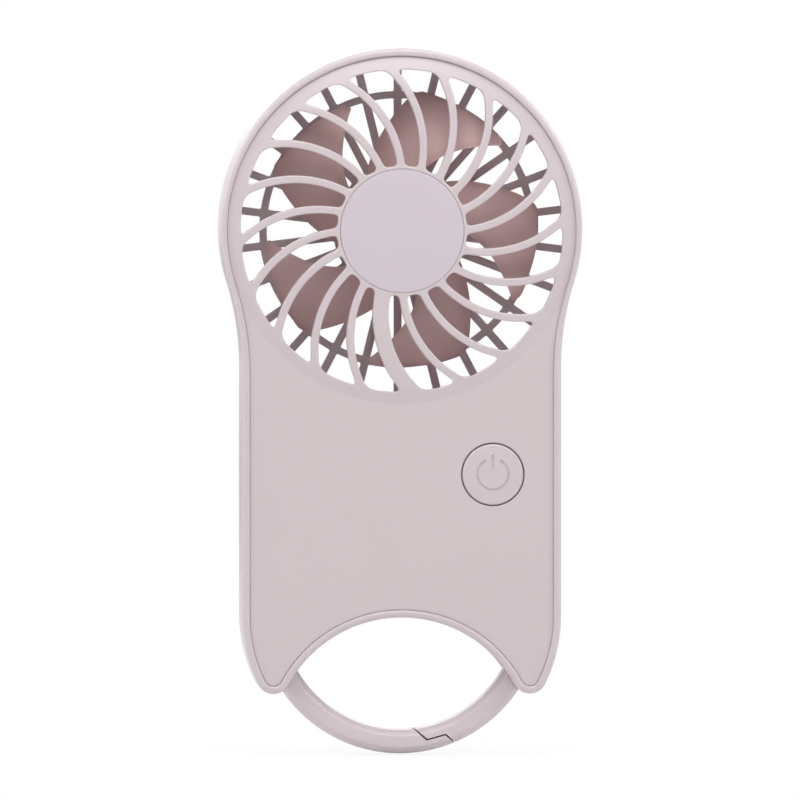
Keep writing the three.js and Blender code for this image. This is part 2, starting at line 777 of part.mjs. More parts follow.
/** What the side wall leaves open: the port, the lamp and both ends of the hoop. */
function sideOpenings() {
  const grown = 2 * fitGap;
  const port = sidePrism(
    portHeight + grown, portWidth + grown, portCornerRadius + fitGap,
    portMiddleY, portZ, portLeftX - fitGap, bodyHalfWidth + cutOverrun,
  );
  const lamp = sidePrism(
    2 * (lampRadius + fitGap), 2 * (lampRadius + fitGap), lampRadius + fitGap,
    lampY, lampZ, boardRightX - cutOverrun, bodyHalfWidth + cutOverrun,
  );
  return joined([port, lamp, gateSlot(), hoopSlot()]);
}

const openSides = sideOpenings();

/** The power symbol's groove: an open ring and a bar. */
function powerSymbol() {
  const inner = symbolRadius - symbolStroke / 2;
  const outer = symbolRadius + symbolStroke / 2;
  const start = Math.PI / 2 + symbolOpenAngle;
  const end = 5 * Math.PI / 2 - symbolOpenAngle;
  const floorY = buttonFrontY + symbolDepth;
  const topY = buttonFrontY - cutOverrun;
  const ring = prism(ringSector(buttonX, buttonZ, inner, outer, start, end, holeSteps), floorY, topY);
  const half = symbolStroke / 2;
  const lowZ = buttonZ + symbolBarStart;
  const highZ = buttonZ + symbolBarEnd;
  return ring.add(block(buttonX - half, buttonX + half, topY, floorY, lowZ, highZ));
}

/** The front half of the case with its grille. */
function frontCover() {
  const edge = faceY + rimFillet;
  const outside = loft([
    { y: frontEdgeY, outline: caseOutline(partingChamfer) },
    { y: frontEdgeY - partingChamfer, outline: caseOutline(0) },
    { y: edge - rimHeight, outline: caseOutline(0) },
    { y: rimY + rimFillet * (1 - Math.SQRT1_2), outline: caseOutline(rimFillet * (1 - Math.SQRT1_2)) },
    { y: rimY, outline: caseOutline(rimFillet) },
  ]);
  const recess = caseOutline(sideRimWidth, archRimWidth, recessTipRadius, 0);
  const hollow = caseOutline(wallThickness);
  const shell = outside
    .subtract(prism(recess, faceY, rimY - cutOverrun))
    .subtract(prism(hollow, frontEdgeY + cutOverrun, frontInnerY));
  const skirt = sleeve(
    0, headCentreZ, hubRingRadius, hubPocketRadius, skirtEndY, frontInnerY - cutOverrun, ringSteps,
  );
  const pocket = bar(0, headCentreZ, hubPocketRadius, frontInnerY + cutOverrun, pocketFloorY, ringSteps);
  const badgeSeat = bar(
    0, headCentreZ, badgeRadius + badgeGap, badgeSeatY, hubFrontY - cutOverrun, ringSteps,
  );
  const buttonHole = bar(
    buttonX, buttonZ, buttonHoleRadius, frontInnerY + cutOverrun, rimY - cutOverrun, 2 * holeSteps,
  );
  const collar = sleeve(
    0, headCentreZ, collarOuterRadius, collarInnerRadius, pocketFloorY + collarHeight,
    pocketFloorY - hubFloorThickness / 2,
  );
  const openings = [];
  for (let i = 0; i < ribCount; i += 1) {
    openings.push(prism(grilleOpening(i), frontInnerY + cutOverrun, hubFrontY - cutOverrun));
  }
  const pillars = caseScrews.map(({ x, y }) => sleeve(
    x, y, screwBossRadius, screwShankRadius + fitGap, frontEdgeY, frontInnerY,
  ));
  const posts = boardScrews.map(({ x, y }) => sleeve(
    x, y, boardPostRadius, boardScrewShankRadius + fitGap, boardFrontY - fitGap, frontInnerY,
  ));
  const pinSocket = sleeve(
    pivot.x, pivot.y, pinBossRadius, pinRadius + fitGap, hoopFrontY - fitGap, frontInnerY,
  );
  const solidHub = shell.add(grilleDome()).subtract(joined(openings)).add(skirt.subtract(pocket));
  return solidHub
    .subtract(pocket)
    .subtract(badgeSeat)
    .add(collar)
    .subtract(wireGroove())
    .subtract(buttonHole)
    .add(joined([...pillars, ...posts, pinSocket]))
    .subtract(openSides);
}

piece(fan, 'front_cover', frontCover(), casePlastic);

// Rear cover

/** One opening of the rear grille between two spokes and two radii. */
function rearOpening(index, inner, outer) {
  const edge = (radius) => Math.asin(spokeWidth / 2 / radius);
  const pitch = 2 * Math.PI / spokeCount;
  const from = Math.PI / 2 + index * pitch;
  const outside = arc(0, headCentreZ, outer, from + edge(outer), from + pitch - edge(outer), cornerSteps);
  const inside = arc(0, headCentreZ, inner, from + pitch - edge(inner), from + edge(inner), 1);
  return prism([...outside, ...inside], cutOverrun, backInnerY - cutOverrun);
}

/** The lip that reaches into the front cover and hides the parting line. */
function partingLip() {
  const root = caseOutline(wallThickness - lipGap / 2);
  const tongue = caseOutline(wallThickness + lipGap);
  const inside = caseOutline(wallThickness + lipGap + lipThickness);
  const tipY = rearEdgeY - lipHeight;
  const rootY = rearEdgeY + lipHeight;
  return prism(root, rootY, rearEdgeY)
    .add(prism(tongue, rearEdgeY + lipGap, tipY))
    .subtract(prism(inside, rootY + cutOverrun, tipY - cutOverrun));
}

/** Low ribs that hold the battery at its four sides. */
function cellRibs() {
  const half = cellRibLength / 2;
  const frontY = backInnerY - cellRibHeight;
  const rearY = backInnerY + backThickness / 2;
  const far = fitGap + cellRibThickness;
  return [
    block(cellMiddleX - half, cellMiddleX + half, frontY, rearY, cellBottomZ - far, cellBottomZ - fitGap),
    block(cellMiddleX - half, cellMiddleX + half, frontY, rearY, cellTopZ + fitGap, cellTopZ + far),
    block(cellLeftX - far, cellLeftX - fitGap, frontY, rearY, cellMiddleZ - half, cellMiddleZ + half),
    block(cellRightX + fitGap, cellRightX + far, frontY, rearY, cellMiddleZ - half, cellMiddleZ + half),
  ];
}

/** The rear half of the case with the air duct and the rear grille. */
function rearCover() {
  const quarter = backEdgeRadius * (1 - Math.SQRT1_2);
  const outside = loft([
    { y: 0, outline: caseOutline(backEdgeRadius) },
    { y: -quarter, outline: caseOutline(quarter) },
    { y: -backEdgeRadius, outline: caseOutline(0) },
    { y: rearEdgeY + partingChamfer, outline: caseOutline(0) },
    { y: rearEdgeY, outline: caseOutline(partingChamfer) },
  ]);
  const shell = outside.subtract(prism(caseOutline(wallThickness), backInnerY, rearEdgeY - cutOverrun));
  const duct = sleeve(
    0, headCentreZ, ductRadius + ductThickness, ductRadius, backInnerY / 2, frontInnerY + fitGap, ringSteps,
  );
  const openings = [];
  for (let i = 0; i < spokeCount; i += 1) {
    openings.push(rearOpening(i, hubRingRadius, rearRingRadius - rearRingWidth / 2));
    openings.push(rearOpening(i, rearRingRadius + rearRingWidth / 2, rearOpeningRadius));
  }
  const bosses = caseScrews.map(({ x, y }) => bar(x, y, screwBossRadius, backInnerY / 2, rearEdgeY));
  const sinks = caseScrews.map(({ x, y }) => bar(x, y, screwHeadRadius + fitGap, cutOverrun, screwSinkY));
  const bores = caseScrews.map(({ x, y }) => bar(
    x, y, screwShankRadius + fitGap, cutOverrun, rearEdgeY - cutOverrun,
  ));
  const socketFrontY = hoopRearY + fitGap;
  const pinSocket = bar(pivot.x, pivot.y, pinBossRadius, backInnerY / 2, socketFrontY);
  const pinBore = bar(pivot.x, pivot.y, pinRadius + fitGap, pinRearY + fitGap, socketFrontY - cutOverrun);
  return joined([shell, duct, partingLip(), pinSocket, ...bosses, ...cellRibs()])
    .subtract(joined(openings))
    .subtract(joined([...sinks, ...bores, pinBore]))
    .subtract(openSides);
}

piece(fan, 'rear_cover', rearCover(), casePlastic);

// Badge in the middle of the front grille
const badgeRearY = badgeSeatY - fitGap / 2;
piece(head, 'hub_badge', bar(0, 0, badgeRadius, badgeRearY, hubFrontY, ringSteps), badgePlastic);

// Power button, plunger and switch
piece(
  fan, 'power_button',
  bar(buttonX, buttonZ, buttonRadius, buttonFlangeRearY, buttonFrontY, 2 * holeSteps)
    .add(bar(buttonX, buttonZ, buttonFlangeRadius, buttonFlangeRearY, buttonFlangeFrontY, 2 * holeSteps))
    .add(bar(buttonX, buttonZ, buttonStemRadius, buttonFlangeRearY + buttonStemLength, buttonFlangeFrontY))
    .subtract(powerSymbol()),
  casePlastic,
);
const plunger = bar(buttonX, buttonZ, plungerRadius, plungerRearY, plungerFrontY);
piece(fan, 'switch_plunger', plunger, blackPlastic);
const switchHalf = switchWidth / 2;
piece(
  fan, 'tact_switch',
  block(
    buttonX - switchHalf, buttonX + switchHalf, switchFrontY, switchRearY,
    buttonZ - switchHalf, buttonZ + switchHalf,
  ).subtract(bar(buttonX, buttonZ, plungerRadius + fitGap, switchFrontY + switchBoreDepth, plungerFrontY)),
  blackPlastic,
);

// Control board with its two screws
const boardOutline = roundedRectangle(
  (boardLeftX + boardRightX) / 2, (boardBottomZ + boardTopZ) / 2,
  boardRightX - boardLeftX, boardTopZ - boardBottomZ, boardCornerRadius,
);
const boardHoles = boardScrews.map(({ x, y }) => bar(
  x, y, boardScrewShankRadius + fitGap, boardRearY + cutOverrun, boardFrontY - cutOverrun,
));
const board = prism(boardOutline, boardRearY, boardFrontY).subtract(joined(boardHoles));
piece(fan, 'control_board', board, boardGreen);

// Charging port: a shell with a tongue, open to the side
const portInner = portCornerRadius - portShell;
const portMouth = sidePrism(
  portHeight - 2 * portShell, portWidth - 2 * portShell, portInner,
  portMiddleY, portZ, portLeftX + portBackLength, portRightX + cutOverrun,
);
const portTongue = block(
  portLeftX + portBackLength / 2, portLeftX + portBackLength + portTongueLength,
  portMiddleY - portTongueThickness / 2, portMiddleY + portTongueThickness / 2,
  portZ - portTongueWidth / 2, portZ + portTongueWidth / 2,
);
piece(
  fan, 'usb_port',
  sidePrism(portHeight, portWidth, portCornerRadius, portMiddleY, portZ, portLeftX, portRightX)
    .subtract(portMouth)
    .add(portTongue),
  steel,
);

// Charging lamp: a foot on the board and a light pipe to the side wall
piece(
  fan, 'charge_led',
  block(
    lampFootLeftX, boardRightX, lampY - lampFootHeight / 2, lampY + lampFootHeight / 2,
    lampZ - lampFootWidth / 2, lampZ + lampFootWidth / 2,
  ).add(sidePrism(2 * lampRadius, 2 * lampRadius, lampRadius, lampY, lampZ, lampFootLeftX, lampRightX)),
  lens,
);

// Battery and the pad it lies on
const cellWidth = cellRightX - cellLeftX;
const cellHeight = cellTopZ - cellBottomZ;
const cellOutline = roundedRectangle(cellMiddleX, cellMiddleZ, cellWidth, cellHeight, cellCornerRadius);
const padOutline = roundedRectangle(
  cellMiddleX, cellMiddleZ, cellWidth - 2 * padInset, cellHeight - 2 * padInset, cellCornerRadius,
);
piece(fan, 'battery_cell', prism(cellOutline, cellRearY, cellFrontY), foil);
piece(fan, 'battery_pad', prism(padOutline, backInnerY - fitGap, padFrontY), foam);

// Wires

/** A battery wire: up from the cell, forward over the board's top edge and down to its front. */
function batteryWire(x) {
  const riseZ = cellTopZ + fitGap;
  const topZ = boardTopZ + 3 * powerWireRadius + fitGap;
  const cellY = (cellRearY + cellFrontY) / 2;
  const frontY = boardFrontY - fitGap - powerWireRadius;
  const points = [
    [cellY, riseZ], [cellY, riseZ + 2 * powerWireRadius], [cellY - powerWireRadius, topZ + powerWireRadius],
    [boardRearY, topZ + 3 * powerWireRadius], [frontY - powerWireRadius, topZ + powerWireRadius],
    [frontY - 2 * powerWireRadius, boardTopZ], [frontY - powerWireRadius, boardTopZ - 4 * powerWireRadius],
    [frontY, boardTopZ - 8 * powerWireRadius], [frontY, boardTopZ - 12 * powerWireRadius],
  ];
  return wire(points.map(([y, z]) => new THREE.Vector3(x, y, z)), powerWireRadius, wireSteps);
}

piece(fan, 'battery_wire_red', batteryWire(powerWireX), redWire);
piece(fan, 'battery_wire_black', batteryWire(powerWireX + powerWireSpacing), blackWire);

/** A motor wire: from the board up to the wide rib, and along its groove to the hub. */
function motorWire(side) {
  const offset = side * motorWireSpacing / 2;
  const grooveY = frontInnerY - wireGrooveDepth / 2;
  const place = (radius, y) => {
    const angle = ribAngle(radius, offset, wideRibIndex);
    return new THREE.Vector3(radius * Math.cos(angle), y, headCentreZ + radius * Math.sin(angle));
  };
  const points = [];
  const innerEnd = motorBoardRadius + fitGap;
  const outerEnd = domeRadius;
  const steps = wireSteps / 2;
  for (let i = 0; i <= steps; i += 1) {
    points.push(place(innerEnd + (outerEnd - innerEnd) * i / steps, grooveY));
  }
  points.push(place(outerEnd + wireGrooveRunout / 2, grooveY + wireGrooveDepth / 2));
  points.push(place(outerEnd + wireGrooveRunout, grooveY + 2 * wireGrooveDepth));
  const last = points.at(-1);
  const boardY = boardFrontY - fitGap - motorWireRadius;
  points.push(new THREE.Vector3(last.x, (last.y + boardY) / 2, (last.z + boardTopZ) / 2));
  const landingZ = (boardTopZ + buttonZ + switchHalf) / 2;
  points.push(new THREE.Vector3(last.x, boardY - 2 * motorWireRadius, (boardTopZ + landingZ) / 2));
  points.push(new THREE.Vector3(last.x, boardY, landingZ));
  return wire(points, motorWireRadius, wireSteps + steps);
}

piece(fan, 'motor_wire_red', motorWire(-1), redWire);
piece(fan, 'motor_wire_black', motorWire(1), blackWire);

// Screws

/** A pan-head screw along Y with a cross recess. */
function screw({ x, y: z }, headY, headRadius, headHeight, shankRadius, length) {
  const seatY = headY - headHeight;
  const half = screwSlotWidth / 2;
  const reach = headRadius / 2;
  const floorY = headY - screwSlotDepth;
  const cross = block(x - reach, x + reach, floorY, headY + cutOverrun, z - half, z + half)
    .add(block(x - half, x + half, floorY, headY + cutOverrun, z - reach, z + reach));
  return turned([
    [0, headY], [headRadius * 2 / 3, headY], [headRadius, headY - headHeight / 2], [headRadius, seatY],
    [shankRadius, seatY], [shankRadius, headY - length + shankRadius], [0, headY - length],
  ], x, z, holeSteps).subtract(cross);
}

caseScrews.forEach((place, i) => piece(
  fan, `case_screw_${i + 1}`,
  screw(place, screwHeadY, screwHeadRadius, screwHeadHeight, screwShankRadius, screwLength),
  steel,
));
boardScrews.forEach((place, i) => piece(
  fan, `board_screw_${i + 1}`,
  screw(
    place, boardRearY + fitGap + boardScrewHeadHeight, boardScrewHeadRadius, boardScrewHeadHeight,
    boardScrewShankRadius, boardScrewLength,
  ),
  steel,
));

// Motor, fixed to the front hub
piece(head, 'bearing_tube', sleeve(0, 0, tubeOuterRadius, tubeInnerRadius, tubeRearY, tubeFrontY), brass);
piece(
  head, 'motor_board',
  sleeve(
    0, 0, motorBoardRadius, collarOuterRadius + fitGap, tubeFrontY + motorBoardThickness, tubeFrontY,
    2 * holeSteps,
  ),
  boardGreen,
);
const shaftFrontY = tubeFrontY + clipSetback;
const clipFrontY = shaftFrontY + clipSetback;
const clipRearY = clipFrontY + clipThickness;
const frontBearingY = clipRearY + fitGap;
const rearBearingY = tubeFrontY + rearBearingSetback;
const bearingBore = shaftRadius + fitGap;
piece(
  head, 'front_bearing',
  sleeve(0, 0, bearingRadius, bearingBore, frontBearingY + bearingLength, frontBearingY), brass,
);
piece(
  head, 'rear_bearing',
  sleeve(0, 0, bearingRadius, bearingBore, rearBearingY + bearingLength, rearBearingY), brass,
);

/** The stator's laminated core: a hub, four necks and their pole shoes. */
function statorCore() {
  const hubRadius = tubeOuterRadius + fitGap + statorHubThickness;
  const shoeInner = statorRadius - poleShoeThickness;
  const parts = [bar(0, 0, hubRadius, statorRearY, statorFrontY, 2 * holeSteps)];
  for (let i = 0; i < poleCount; i += 1) {
    const angle = i * 2 * Math.PI / poleCount;
    const half = poleNeckWidth / 2;
    const reach = (shoeInner + statorRadius) / 2;
    const neck = [
      new THREE.Vector2(0, -half), new THREE.Vector2(reach, -half),
      new THREE.Vector2(reach, half), new THREE.Vector2(0, half),
    ].map((point) => point.rotateAround(new THREE.Vector2(), angle));
    parts.push(prism(neck, statorRearY, statorFrontY));
    const start = angle - poleShoeHalfAngle;
    const end = angle + poleShoeHalfAngle;
    const shoe = ringSector(0, 0, shoeInner, statorRadius, start, end, smallArcSteps);
    parts.push(prism(shoe, statorRearY, statorFrontY));
  }
  const bore = bar(0, 0, tubeOuterRadius + fitGap, statorRearY + cutOverrun, statorFrontY - cutOverrun);
  return joined(parts).subtract(bore);
}

piece(head, 'stator_core', statorCore(), laminate);

/** One coil round the neck that points along +X. */
function statorCoil() {
  const innerX = tubeOuterRadius + fitGap + statorHubThickness + fitGap;
  const holeHalf = poleNeckWidth / 2 + fitGap;
  const outHalf = holeHalf + coilThickness;
  const outerX = Math.sqrt((statorRadius - poleShoeThickness - fitGap) ** 2 - outHalf ** 2);
  const holeFrontY = statorFrontY - fitGap;
  const holeRearY = statorRearY + fitGap;
  return block(innerX, outerX, holeFrontY - coilThickness, holeRearY + coilThickness, -outHalf, outHalf)
    .subtract(block(innerX - cutOverrun, outerX + cutOverrun, holeFrontY, holeRearY, -holeHalf, holeHalf));
}

for (let i = 0; i < poleCount; i += 1) {
  const turn = new THREE.Group();
  turn.rotation.y = i * 2 * Math.PI / poleCount;
  head.add(turn);
  piece(turn, `stator_coil_${i + 1}`, statorCoil(), copper);
}

// Rotor, carried by the impeller
piece(
  head, 'rotor_magnet',
  sleeve(
    0, 0, magnetOuterRadius, magnetInnerRadius, statorRearY + (magnetLength - statorLength) / 2,
    statorFrontY - (magnetLength - statorLength) / 2, 2 * holeSteps,
  ),
  ferrite,
);
const seatHoleRadius = shaftBossRadius + airGap;
piece(
  head, 'rotor_yoke',
  turned([
    [seatHoleRadius, yokeRearInnerY], [yokeInnerRadius, yokeRearInnerY],
    [yokeInnerRadius, yokeRearY - yokeLength], [yokeOuterRadius, yokeRearY - yokeLength],
    [yokeOuterRadius, yokeRearY], [seatHoleRadius, yokeRearY], [seatHoleRadius, yokeRearInnerY],
  ], 0, 0, 2 * holeSteps),
  steel,
);
const shaftRearY = shaftFrontY + shaftLength;
piece(head, 'motor_shaft', bar(0, 0, shaftRadius, shaftRearY, shaftFrontY), steel);
piece(head, 'shaft_clip', sleeve(0, 0, bearingRadius - fitGap, bearingBore, clipRearY, clipFrontY), steel);

/** A blade's edge as a curve of clockwise angle and radius, from its table. */
function edgeCurve(table) {
  const root = hubOuterRadius - bladeRootDepth;
  return new THREE.CatmullRomCurve3(table.map(([degrees, share]) => (
    new THREE.Vector3(degrees, root + share * (impellerRadius - root), 0)
  )), false, 'centripetal');
}

/** One sickle blade: a twisted sheet between its two edges and the tip. */
function blade() {
  const leading = edgeCurve(leadingEdgeShares);
  const trailing = edgeCurve(trailingEdgeShares);
  const tip = edgeCurve(tipEdgeShares);
  const positions = [];
  const rows = bladeSteps + 1;
  for (const side of [-1, 1]) {
    for (let i = 0; i <= bladeSteps; i += 1) {
      for (let j = 0; j <= bladeSteps; j += 1) {
        const outward = i / bladeSteps;
        const across = j / bladeSteps;
        const straightTip = leading.getPoint(1).lerp(trailing.getPoint(1), across);
        const bulge = tip.getPoint(across).sub(straightTip).multiplyScalar(outward ** 3);
        const place = leading.getPoint(outward).lerp(trailing.getPoint(outward), across).add(bulge);
        const angle = THREE.MathUtils.degToRad(90 - place.x);
        const crown = bladeCrown * Math.sin(Math.PI * across);
        const middle = bladeRearY - bladeThickness / 2 - (bladeDepth - bladeThickness) * across - crown;
        const y = middle + side * bladeThickness / 2;
        positions.push(place.y * Math.cos(angle), y, place.y * Math.sin(angle));
      }
    }
  }
  const index = [];
  const at = (side, i, j) => side * rows * rows + i * rows + j;
  const quad = (a, b, c, d) => index.push(a, b, c, a, c, d);
  for (let i = 0; i < bladeSteps; i += 1) {
    for (let j = 0; j < bladeSteps; j += 1) {
      quad(at(0, i, j), at(0, i, j + 1), at(0, i + 1, j + 1), at(0, i + 1, j));
      quad(at(1, i, j), at(1, i + 1, j), at(1, i + 1, j + 1), at(1, i, j + 1));
    }
    quad(at(0, 0, i), at(1, 0, i), at(1, 0, i + 1), at(0, 0, i + 1));
    quad(at(0, bladeSteps, i), at(0, bladeSteps, i + 1), at(1, bladeSteps, i + 1), at(1, bladeSteps, i));
    quad(at(0, i, 0), at(0, i + 1, 0), at(1, i + 1, 0), at(1, i, 0));
    quad(at(0, i, bladeSteps), at(1, i, bladeSteps), at(1, i + 1, bladeSteps), at(0, i + 1, bladeSteps));
  }
  const geometry = new THREE.BufferGeometry();
  geometry.setAttribute('position', new THREE.Float32BufferAttribute(positions, 3));
  geometry.setIndex(index);
  return geometry;
}

/** The impeller: a cup round the yoke with a shaft boss, and the blades. */
function impeller() {
  const capY = hubRearY - impellerCapThickness;
  const cup = turned([
    [0, capY], [hubInnerRadius, capY], [hubInnerRadius, hubRimY], [hubOuterRadius, hubRimY],
    [hubOuterRadius, hubRearY - impellerWall], [hubOuterRadius - impellerWall, hubRearY], [0, hubRearY],
  ], 0, 0);
  const seat = bar(0, 0, impellerSeatRadius, hubRearY - impellerWall, impellerSeatY, 2 * holeSteps);
  const boss = bar(0, 0, shaftBossRadius, hubRearY - impellerWall, impellerSeatY - shaftBossLength);
  const bore = bar(0, 0, bearingBore, shaftRearY + fitGap, impellerSeatY - shaftBossLength - cutOverrun);
  const blades = [];
  for (let i = 0; i < bladeCount; i += 1) {
    blades.push(solid(blade().rotateY(i * 2 * Math.PI / bladeCount)));
  }
  return joined([cup, seat, boss, ...blades]).subtract(bore);
}

piece(head, 'impeller', impeller(), finish('#8a6e6c', 0.45));

export default fan;
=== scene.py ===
"""Looks of a pocket fan with a clip hoop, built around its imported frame.

Sizes are in millimetres and meshes are written in metres. X points right seen from the
front, Y points to the back and Z points up.
"""

from __future__ import annotations

import json
import logging
import math
from dataclasses import dataclass, field
from enum import Enum
from typing import Callable, Iterable, Sequence

import bmesh
import bpy
from bpy.types import Material, Mesh, Node, NodeSocket, NodeTree, Object
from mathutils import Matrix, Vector
from mathutils.geometry import tessellate_polygon

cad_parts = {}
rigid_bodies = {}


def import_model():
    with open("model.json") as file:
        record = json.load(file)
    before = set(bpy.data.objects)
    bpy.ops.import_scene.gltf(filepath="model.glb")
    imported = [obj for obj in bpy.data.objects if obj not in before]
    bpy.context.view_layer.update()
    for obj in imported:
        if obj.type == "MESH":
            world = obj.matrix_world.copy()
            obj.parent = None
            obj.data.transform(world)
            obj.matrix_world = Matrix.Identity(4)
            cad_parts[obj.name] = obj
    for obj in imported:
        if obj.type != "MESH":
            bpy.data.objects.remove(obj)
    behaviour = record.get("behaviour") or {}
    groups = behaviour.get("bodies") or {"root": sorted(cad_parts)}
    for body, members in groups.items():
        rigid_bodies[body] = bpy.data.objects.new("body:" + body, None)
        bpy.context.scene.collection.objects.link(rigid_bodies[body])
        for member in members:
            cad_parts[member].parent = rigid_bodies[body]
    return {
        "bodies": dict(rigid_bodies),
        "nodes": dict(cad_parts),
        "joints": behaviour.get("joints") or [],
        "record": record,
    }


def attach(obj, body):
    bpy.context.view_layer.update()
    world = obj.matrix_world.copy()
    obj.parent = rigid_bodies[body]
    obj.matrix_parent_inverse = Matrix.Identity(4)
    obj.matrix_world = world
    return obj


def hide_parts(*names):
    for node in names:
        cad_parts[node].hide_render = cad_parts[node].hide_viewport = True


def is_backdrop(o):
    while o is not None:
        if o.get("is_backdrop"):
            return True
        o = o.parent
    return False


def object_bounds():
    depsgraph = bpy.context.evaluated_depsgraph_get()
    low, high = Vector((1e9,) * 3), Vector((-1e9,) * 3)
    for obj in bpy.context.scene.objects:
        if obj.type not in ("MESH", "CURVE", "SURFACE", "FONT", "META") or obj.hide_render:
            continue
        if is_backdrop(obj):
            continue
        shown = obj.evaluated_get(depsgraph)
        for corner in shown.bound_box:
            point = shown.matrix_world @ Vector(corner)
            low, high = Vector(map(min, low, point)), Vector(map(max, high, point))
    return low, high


LOG = logging.getLogger("pocket_fan")
MM = 0.001
QUARTER = math.pi / 2
FULL = 2 * math.pi
ORIGIN = (0.0, 0.0)
AXIS = (0.0, 66.2)
CORNER_STEPS = 8
TUBE_STEPS = 48
PLAIN_SHARP = 40.0
CUT_SHARP = 30.0
SOFT_SHARP = 50.0
Point = tuple[float, float]
Place = tuple[float, float, float]
Depth = float | Callable[[Point], float]
Level = tuple[Sequence[Point], Depth]
Edge = Callable[[float], float]


class Slot(Enum):
    """Material slots of the record that new pieces take their finish from."""

    CASE = "case_plastic"
    BADGE = "badge_plastic"
    CLIP = "clip_plastic"
    BLADE = "blade_plastic"
    STEEL = "steel"
    BLACK = "black_plastic"


class Body(Enum):
    """Bodies of the frame that pieces ride on."""

    HOUSING = "housing"
    ROTOR = "rotor"
    BUTTON = "button"
    GATE = "gate"


# Points in the XZ plane


def lerp(low: float, high: float, share: float) -> float:
    """A value between two others."""
    return low + (high - low) * share


def between(first: Point, second: Point, share: float) -> Point:
    """A point between two others."""
    return (lerp(first[0], second[0], share), lerp(first[1], second[1], share))


def polar(centre: Point, radius: float, angle: float) -> Point:
    """A point at a radius and an angle from a centre."""
    return (centre[0] + radius * math.cos(angle), centre[1] + radius * math.sin(angle))


def turned(point: Point, centre: Point, angle: float) -> Point:
    """Turns a point round a centre.

    Args:
        point: The point.
        centre: The centre.
        angle: How far, counter-clockwise seen from the front.

    Returns:
        The turned point.
    """
    x, z = point[0] - centre[0], point[1] - centre[1]
    cosine, sine = math.cos(angle), math.sin(angle)
    return (centre[0] + x * cosine - z * sine, centre[1] + x * sine + z * cosine)


def arc(centre: Point, radius: float, start: float, end: float, steps: int) -> list[Point]:
    """Points along an arc, both ends included."""
    return [polar(centre, radius, start + (end - start) * i / steps) for i in range(steps + 1)]


def circle(centre: Point, radius: float, steps: int, turn: float = 0.0) -> list[Point]:
    """Points round a circle, counter-clockwise seen from the front."""
    return [polar(centre, radius, turn + FULL * i / steps) for i in range(steps)]


def ring_sector(
    centre: Point, inner: float, outer: float, start: float, end: float, steps: int,
) -> list[Point]:
    """Part of a ring between two radii and two angles, as an outline."""
    return arc(centre, outer, start, end, steps) + arc(centre, inner, end, start, steps)


def rounded_box(size: Point, corner: float, grow: float = 0.0) -> list[Point]:
    """The outline of a box with round corners.

    Args:
        size: The box's two sides.
        corner: The radius of its corners.
        grow: How much larger the outline is all round.

    Returns:
        The outline.
    """
    points = []
    for quarter, (x, z) in enumerate(((1, 1), (-1, 1), (-1, -1), (1, -1))):
        middle = (x * (size[0] / 2 - corner), z * (size[1] / 2 - corner))
        start = quarter * QUARTER
        points += arc(middle, corner + grow, start, start + QUARTER, CORNER_STEPS)
    return points


def quarter_round(radius: float, steps: int) -> list[Point]:
    """A quarter round from its side to its top: how far each point lies from the two faces."""
    angles = [QUARTER * step / steps for step in range(steps + 1)]
    return [(radius * (1 - math.cos(a)), radius * (1 - math.sin(a))) for a in angles]


def bend(start: Point, corner: Point, end: Point, share: float) -> Point:
    """A point on the curve that leaves a start towards a corner and arrives at an end."""
    a, b, c = (1 - share) ** 2, 2 * share * (1 - share), share ** 2
    return (a * start[0] + b * corner[0] + c * end[0], a * start[1] + b * corner[1] + c * end[1])


def grown(outline: Sequence[Point], distance: float) -> list[Point]:
    """Moves a counter-clockwise outline outwards along its corners' normals.

    Args:
        outline: The outline.
        distance: How far, negative for inwards.

    Returns:
        The moved outline, with as many points.
    """
    moved = []
    for i, (x, z) in enumerate(outline):
        before, after = outline[i - 1], outline[(i + 1) % len(outline)]
        along = Vector((after[0] - before[0], after[1] - before[1]))
        along.normalize()
        moved.append((x + along.y * distance, z - along.x * distance))
    return moved


def walk(outline: Sequence[Point], start: int, way: int, distance: float) -> tuple[Point, int]:
    """Walks along a closed outline from one of its points.

    Args:
        outline: The outline's points.
        start: The index to start from.
        way: 1 for onwards, -1 for backwards.
        distance: How far to walk.

    Returns:
        The place reached and the number of points passed, at least one.
    """
    count = len(outline)
    left = distance
    for step in range(1, count):
        here = outline[(start + way * (step - 1)) % count]
        there = outline[(start + way * step) % count]
        length = math.dist(here, there)
        if length >= left:
            return between(here, there, left / length), step
        left -= length
    raise ValueError("the outline is shorter than the walk")


# Meshes


